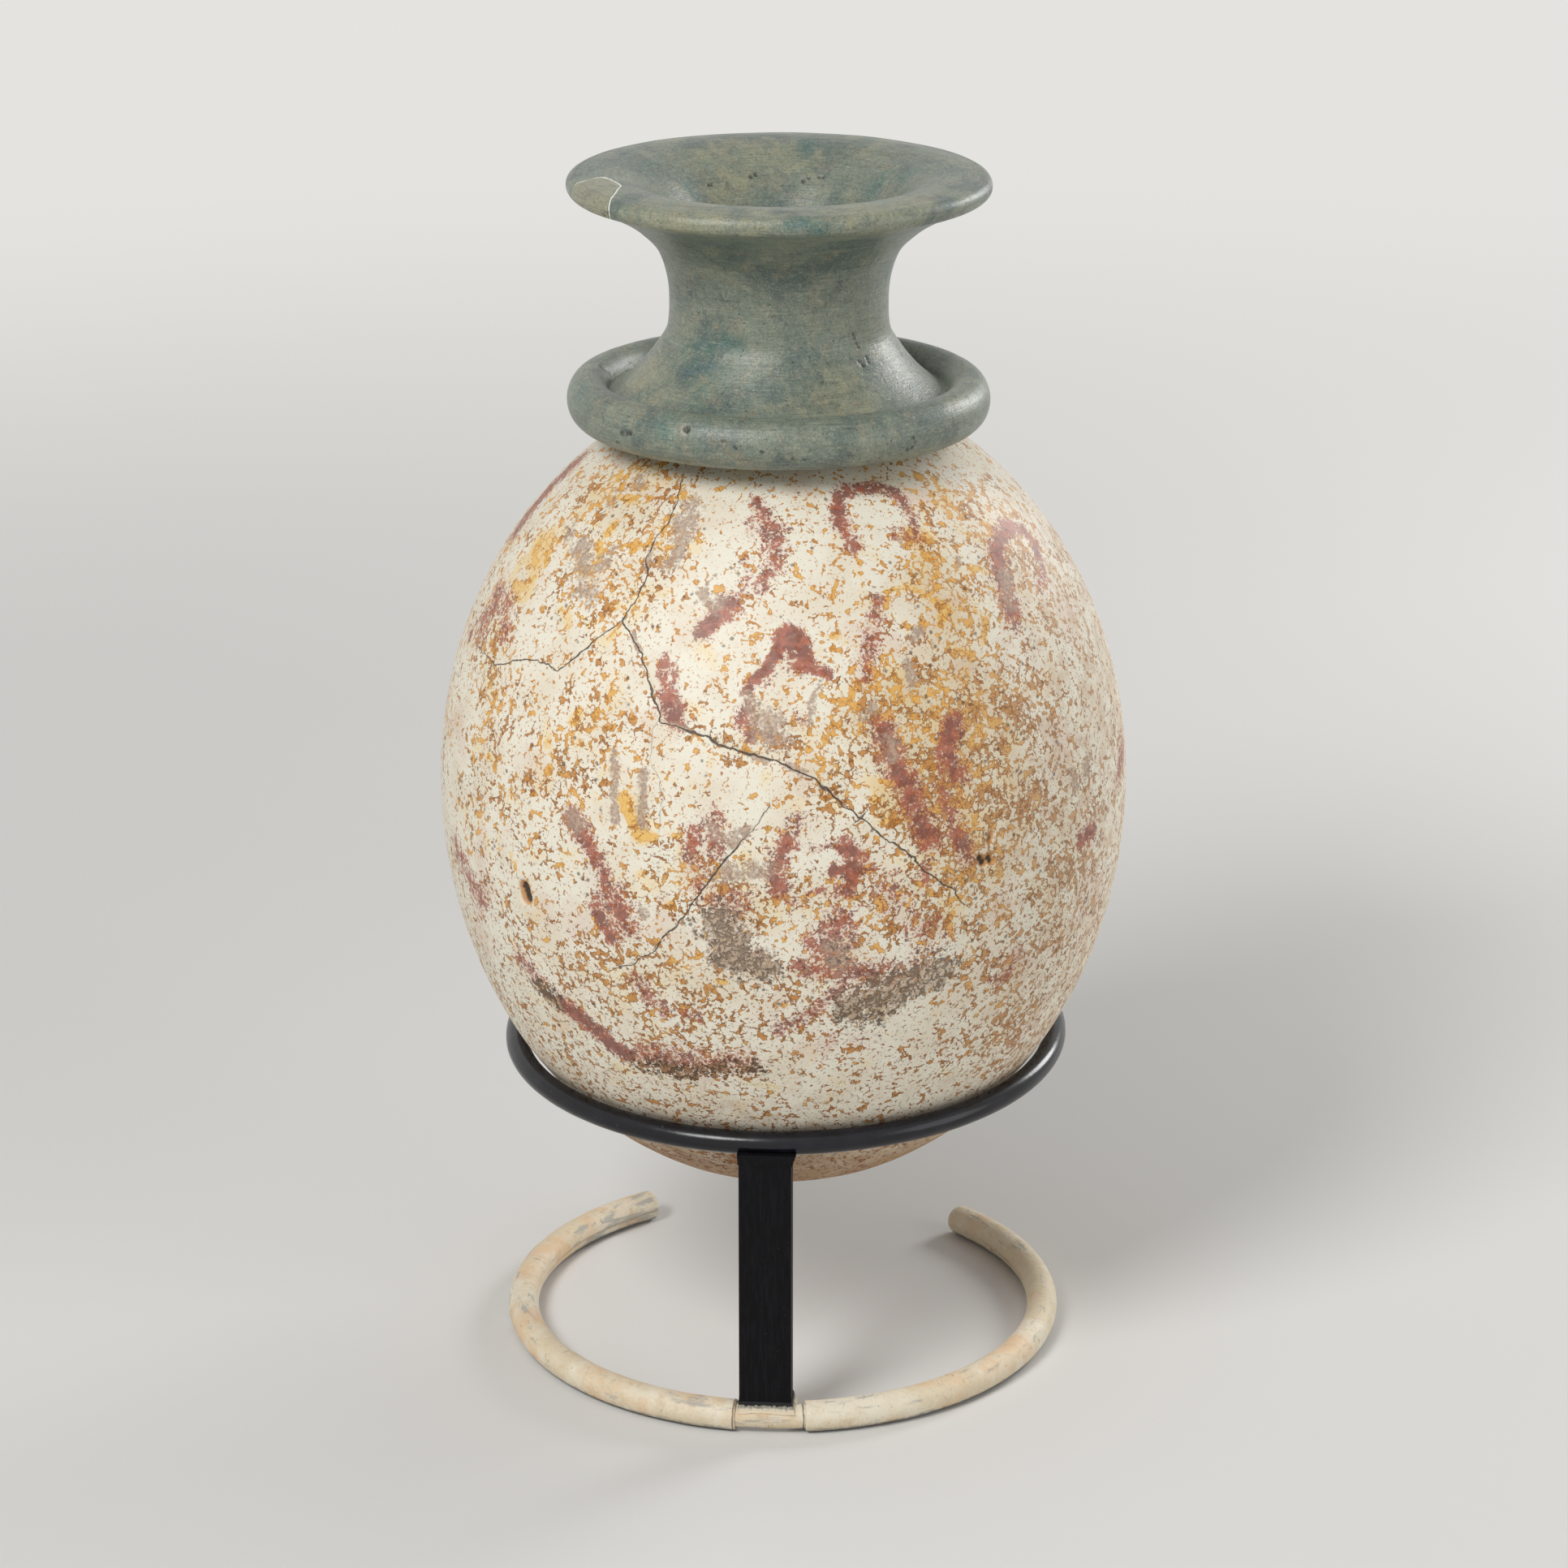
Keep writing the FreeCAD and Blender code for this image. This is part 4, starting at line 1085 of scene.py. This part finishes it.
# An end of a tube: (how far on in mm, radius) from ring to ring, and the last ring is closed.
ragEnd = [(0.05, 2.9), (0.12, 2.84), (0.1, 2.7), (0.04, 2.5), (0.0, 2.36), (-1.4, 2.33)]
seamEnd = [(0.06, 2.88), (0.12, 2.8), (0.08, 2.66), (0.03, 2.5), (0.0, 2.36), (-1.4, 2.33)]
cutEnd = [(0.25, 2.86), (0.25, 2.72), (0.18, 2.5), (0.1, 2.2), (0.05, 1.6), (0.02, 0.8), (0.0, 0.3)]
domeEnd = [(0.5, 2.82), (0.5, 2.64), (0.42, 2.36), (0.34, 1.98), (0.25, 1.5), (0.15, 0.9), (0.05, 0.3)]
plainEnd = [(0.02, 2.0), (0.0, 1.0), (0.0, 0.3)]


def armOfFoot(radius, startDeg, sweepDeg, startRings, endRings):
    # a round tube along the circle of the foot, closed at both ends by its rings
    reach = stand["footRadius"]
    spare = [math.degrees(sum(on for on, _ in rings if on > 0) / reach) for rings in (startRings, endRings)]
    startDeg, sweepDeg = startDeg + spare[0], sweepDeg - sum(spare)
    section = profileMesh(arc(reach, 0, radius, radius, 0, 360, stand["facets"])[:-1])
    section.transform(Matrix.Rotation(math.radians(startDeg), 4, "Z"))
    bm = spinAround(section, round(sweepDeg * stand["stepsPerDeg"]), math.radians(sweepDeg))
    for turnDeg, forward, rings in ((startDeg, -1, startRings), (startDeg + sweepDeg, 1, endRings)):
        turn = math.radians(turnDeg)
        middle = Vector((reach * math.cos(turn), reach * math.sin(turn), 0))
        onward = Vector((-math.sin(turn), math.cos(turn), 0)) * forward
        loop = [
            edge for edge in bm.edges
            if edge.is_boundary and (edge.verts[0].co - middle).length < radius * 2]
        assert len(loop) == stand["facets"], "the tube ends elsewhere"
        for on, width in rings:
            grown = bmesh.ops.extrude_edge_only(bm, edges=loop)["geom"]
            loop = [item for item in grown if isinstance(item, bmesh.types.BMEdge) and item.is_boundary]
            old, middle = middle, middle + onward * on
            for vert in {vert for edge in loop for vert in edge.verts}:
                vert.co = middle + (vert.co - old).normalized() * width
        bmesh.ops.contextual_create(bm, geom=loop)
    bmesh.ops.recalc_face_normals(bm, faces=bm.faces[:])
    return bm


def aroundFoot(bm, centre):
    # for each corner, its way along the foot in mm from the middle of the front and its turn round the tube
    spots = spotsOf(bm) - np.array(centre, np.float32)
    along = np.degrees(np.arctan2(spots[:, 0], -spots[:, 1])) * math.pi / 180 * stand["footRadius"]
    across = np.hypot(spots[:, 0], spots[:, 1]) - stand["footRadius"]
    return along, np.degrees(np.arctan2(spots[:, 2], across))


def makeFoot():
    rod, sleeve = stand["rod"], stand["sleeve"]
    centre = Vector((0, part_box("base_rod")[0].y / metre + rod + stand["footRadius"], sleeve))
    frontDeg = -90 + math.degrees(math.asin(middleOf("post").x / stand["footRadius"]))
    bareLeft, bareRight = (
        math.degrees(stand[side] / stand["footRadius"]) for side in ("bareLeft", "bareRight"))
    left, right, short = stand["leftSweepDeg"], stand["rightSweepDeg"], stand["rodShortDeg"]
    # piece, node, slot, radius, start and end from the front in degrees, and the ends
    arms = [
        ("baseRod", "base_rod", "base_rod_paint", rod, short - left, right - short, plainEnd, plainEnd),
        ("leftSleeve", "left_sleeve", "sleeve_paint", sleeve, -left, -bareLeft, cutEnd, seamEnd),
        ("rightSleeve", "right_sleeve", "sleeve_paint", sleeve, bareRight, right, ragEnd, domeEnd),
    ]
    paint = creamPaint()
    for name, node, slot, radius, startDeg, endDeg, startRings, endRings in arms:
        bm = armOfFoot(radius, frontDeg + startDeg, endDeg - startDeg, startRings, endRings)
        bm.transform(Matrix.Translation(centre))
        along, turn = aroundFoot(bm, centre)
        bm.normal_update()
        for index, vert in enumerate(bm.verts):
            vert.co -= vert.normal * (stand["footSkin"] + lumps(vert.co, stand["footWaves"]))
            if name == "rightSleeve" and along[index] < stand["bareRight"] + stand["ragReach"]:
                rag = lumps(Vector((turn[index] / stand["ragSizeDeg"], 0, 3)), stand["ragWaves"])
                vert.co.x += rag * (stand["bareRight"] + stand["ragEdge"] - along[index])
        finishPiece(bm, name, "stand", slot, [node], paint, along=along, turn=turn / 10)


footTones = {
    "cream": (224, 209, 180), "peach": (228, 194, 154), "pale": (234, 225, 204), "ochre": (206, 178, 138),
    "blue": (150, 158, 161), "shade": (84, 90, 100), "mouthCreaseShade": (92, 74, 58), "fibre": (186, 164, 132),
    "nick": (120, 108, 94), "speck": (70, 62, 54),
}


def creamPaint():
    paint = Paint("footPaint", footTones)
    along, turn, upright = paint.saved("along"), paint.saved("turn"), paint.axis("Z")
    paint.colour = paint.mix("cream", "pale", paint.noise(9, 4, 0.65).ramp(0.4, 0.62))
    paint.lay("peach", paint.noise(10, 4, 0.6, shift=4).ramp(0.46, 0.66) * 0.8)
    paint.lay("ochre", paint.noise(3.0, 4, 0.7, shift=21).ramp(0.52, 0.7) * 0.5)
    # thin blue-grey places, most of them near the left tip, painted shade on the underside, and painted shade
    # in the creases at the sleeve mouths beside the post
    streaked = paint.spot(along * 0.3, turn * 0.5, upright)
    nearTip = (0 - along - 84).ramp(0, 30)
    blue = (paint.noise(2.4, 4, 0.65, place=streaked, shift=9) + nearTip * 0.1).ramp(0.57, 0.68)
    paint.lay("blue", blue * 0.6)
    # painted shade: the tubes darker and bluer towards their underside
    under = (1.7 - upright + (paint.noise(1.2, 3, 0.7, shift=15) - 0.5) * 2.4).ramp(0.0, 1.3)
    paint.lay("shade", under * 0.75)
    # painted shade in a ragged line at each sleeve mouth, in the crease where it meets the bare rod
    wobble = (paint.noise(1.1, 2, shift=33) - 0.5) * 0.5
    for mouth in (-stand["bareLeft"], stand["bareRight"]):
        paint.lay("mouthCreaseShade", (1 - (along - mouth + wobble).size().ramp(0.04, 0.22)) * 0.85)
    # fine wraps across the tube, dark nicks and specks
    fibre = paint.noise(0.5, 3, 0.7, place=paint.spot(along, upright, turn * 0.3))
    nicked = paint.spot(along * 3.2, turn * 0.4, upright * 0.3)
    nick = paint.noise(2.6, 2, 0.5, place=nicked).ramp(0.68, 0.72)
    nick = nick * paint.noise(7, 1, shift=25).ramp(0.5, 0.56)
    speck = paint.specks(2.1, 0.04, 0.09) * paint.noise(5, 1, shift=27).ramp(0.48, 0.56)
    paint.lay("fibre", fibre.ramp(0.54, 0.72) * 0.4)
    paint.lay("nick", nick * 0.5)
    paint.lay("speck", speck * 0.5)
    height = fibre * 0.06 + paint.noise(1.4, 3, 0.6, shift=31) * 0.1
    height = height - blue * 0.06 - nick * 0.12 - speck * 0.05
    return paint.finish(0.44 + fibre * 0.2 + blue * 0.1, 0.35, height)


def ringPaint():
    paint = Paint("cradlePaint", {"black": (11, 12, 18), "blueBlack": (24, 25, 33), "dust": (150, 146, 138)})
    dust = paint.specks(1.1, 0.03, 0.1) * paint.noise(2.5, 2, shift=5).ramp(0.54, 0.62)
    paint.colour = paint.mix("black", "blueBlack", paint.noise(5, 3, shift=9).ramp(0.4, 0.7))
    paint.lay("dust", dust * 0.5)
    rough = 0.16 + paint.noise(3, 3, 0.6, shift=13) * 0.12 + dust * 0.3
    return paint.finish(rough, 0.4, paint.noise(0.9, 2, 0.5) * 0.02 + dust * 0.04)


def makePost():
    # a flat bar with its upright edges broken
    low, high = (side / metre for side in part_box("post"))
    bm = bmesh.new()
    bmesh.ops.create_cube(bm, size=1)
    bm.transform(Matrix.Translation((low + high) / 2) @ Matrix.Diagonal((*(high - low), 1)))
    upright = [edge for edge in bm.edges if abs(edge.verts[0].co.z - edge.verts[1].co.z) > 1]
    bmesh.ops.bevel(
        bm, geom=upright, offset=stand["postEdge"], offset_type="OFFSET", affect="EDGES",
        segments=4, profile=0.5, material=-1)
    finishPiece(bm, "post", "stand", "post_paint", ["post"], blackPaint("postPaint"))


def blackPaint(name):
    paint = Paint(name, {"black": (9, 9, 12), "worn": (19, 19, 23), "dust": (120, 116, 110)})
    peel = paint.noise(0.45, 2, 0.6)
    streak = paint.noise(1.0, 3, 0.6, place=paint.vector("MULTIPLY", paint.place, (2.2, 2.2, 0.25)))
    paint.colour = paint.mix("black", "worn", streak.ramp(0.4, 0.7))
    paint.lay("dust", paint.specks(1.0, 0.03, 0.09) * paint.noise(3, 2, shift=15).ramp(0.55, 0.6) * 0.5)
    return paint.finish(0.42 + peel * 0.12, 0.12, peel * 0.03)


def roughCopy(name, node, body, slot, lump, edge, material):
    # a node's own shape, cut until no edge is longer than asked, and made a little smaller and lumpy
    bm = bmesh.new()
    bm.from_mesh(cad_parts[node].data)
    bm.transform(Matrix.Scale(1 / metre, 4))
    bmesh.ops.remove_doubles(bm, verts=bm.verts[:], dist=0.002)
    for _ in range(5):
        long = [side for side in bm.edges if side.calc_length() > edge]
        if not long:
            break
        bmesh.ops.subdivide_edges(bm, edges=long, cuts=1, use_grid_fill=False)
        bmesh.ops.triangulate(bm, faces=[face for face in bm.faces if len(face.verts) > 4])
    bmesh.ops.recalc_face_normals(bm, faces=bm.faces[:])
    bm.normal_update()
    for vert in bm.verts:
        vert.co -= vert.normal * lump * (0.9 + lumps(vert.co, stand["weldWaves"]))
    finishPiece(bm, name, body, slot, [node], material)


weldTones = {
    "grey": (168, 162, 146), "pale": (220, 214, 196), "dull": (104, 100, 92), "cream": (224, 209, 182),
    "black": (14, 14, 17),
}


def footWeldPaint():
    # grey metal in a thin ragged line, between the post's black paint and the cream of the rod
    paint = Paint("footWeld", weldTones)
    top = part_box("foot_weld")[1].z / metre
    grain = paint.noise(0.4, 3, 0.7)
    rag = paint.axis("Z") - top + (paint.noise(0.8, 3, 0.7, shift=9) - 0.5) * 1.3
    paint.colour = paint.mix("grey", "pale", grain.ramp(0.4, 0.6))
    paint.lay("dull", (1 - (rag + 1.0).size().ramp(0.1, 0.4)) * 0.6)
    paint.colour = paint.mix("cream", paint.colour, rag.ramp(-1.6, -1.3))
    paint.lay("black", rag.ramp(-0.85, -0.75))
    return paint.finish(0.5 + grain * 0.2, 0.35, grain * 0.14)


def beddingPaint():
    paint = Paint("bedding", {"brown": (176, 152, 122), "sand": (206, 186, 156), "dark": (110, 84, 62)})
    grain = paint.noise(0.7, 3, 0.7)
    paint.colour = paint.mix("brown", "sand", grain.ramp(0.36, 0.64))
    paint.lay("dark", paint.noise(3, 3, 0.6, shift=5).ramp(0.55, 0.7) * 0.6)
    return paint.finish(0.75 + grain * 0.15, 0.3, grain * 0.2)


makeCradleRing()
makeFoot()
makePost()
roughCopy("footWeld", "foot_weld", "stand", "foot_weld", 0.1, 0.35, footWeldPaint())
roughCopy("cradleWeld", "cradle_weld", "stand", "cradle_paint", 0.06, 0.5, blackPaint("cradleWeldPaint"))
roughCopy("beddingRing", "mouthpiece_bedding", "rhyton", "bedding", 0.05, 1.4, beddingPaint())
print("stand ready")

# light, floor and the end
studio = {
    "lamps": {
        # size, power and place in metres
        "keyLight": (0.45, 7.8, (-0.42, -0.72, 0.85)),
        "fillLight": (0.7, 1.5, (0.85, -0.35, 0.35)),
        "rimLight": (0.3, 2.6, (0.55, 0.55, 0.4)),
    },
    "target": (0, 0, 0.12), "worldLight": 0.31, "floorSize": 4, "plainFrom": 180, "plainTo": 900,
    "floor": (228, 227, 224), "shade": (222, 221, 218),
}


def areaLight(name, size, power, place):
    data = bpy.data.lights.new(name, "AREA")
    data.shape = "DISK"
    data.size = size
    data.energy = power
    lamp = addObject(name, data)
    lamp.location = place
    lamp.rotation_euler = (Vector(studio["target"]) - Vector(place)).to_track_quat("-Z", "Y").to_euler()


def plainWhereSeen(paint, kind, lit, share=1):
    # the floor's plain tone where the camera looks, straight or by a reflection, and the lit shader for light
    ways = ("Camera", "Glossy", "Transmission")
    rays = [paint.node("ShaderNodeLightPath", out=f"Is {way} Ray") for way in ways]
    seen = (rays[0] + rays[1] + rays[2]) * share
    plain = paint.node(kind, None, {"Color": linear(studio["floor"]), "Strength": 1.0})
    return paint.node("ShaderNodeMixShader", None, {0: seen, 1: lit, 2: plain})


def makeStudio():
    for name, lamp in studio["lamps"].items():
        areaLight(name, *lamp)
    world = bpy.data.worlds.new("studio")
    sky = Paint(world)
    light = sky.node("ShaderNodeBackground", None, {"Color": (1, 1, 1, 1), "Strength": studio["worldLight"]})
    sky.show(plainWhereSeen(sky, "ShaderNodeBackground", light), "ShaderNodeOutputWorld")
    bpy.context.scene.world = world

    bm = bmesh.new()
    bmesh.ops.create_grid(bm, x_segments=1, y_segments=1, size=studio["floorSize"])
    floor = addMesh("floor", bm)
    paint = Paint("floor", studio)
    paint.colour = paint.mix("floor", "shade", paint.noise(180, 2))
    # far from the object the floor is plain, without the lamps' falloff
    far = paint.vector("LENGTH", paint.place, out="Value").ramp(studio["plainFrom"], studio["plainTo"])
    shader = plainWhereSeen(paint, "ShaderNodeEmission", paint.shader(0.7, 0.2), far)
    floor.data.materials.append(paint.show(shader))


makeStudio()
bpy.context.scene.view_settings.view_transform = "Standard"
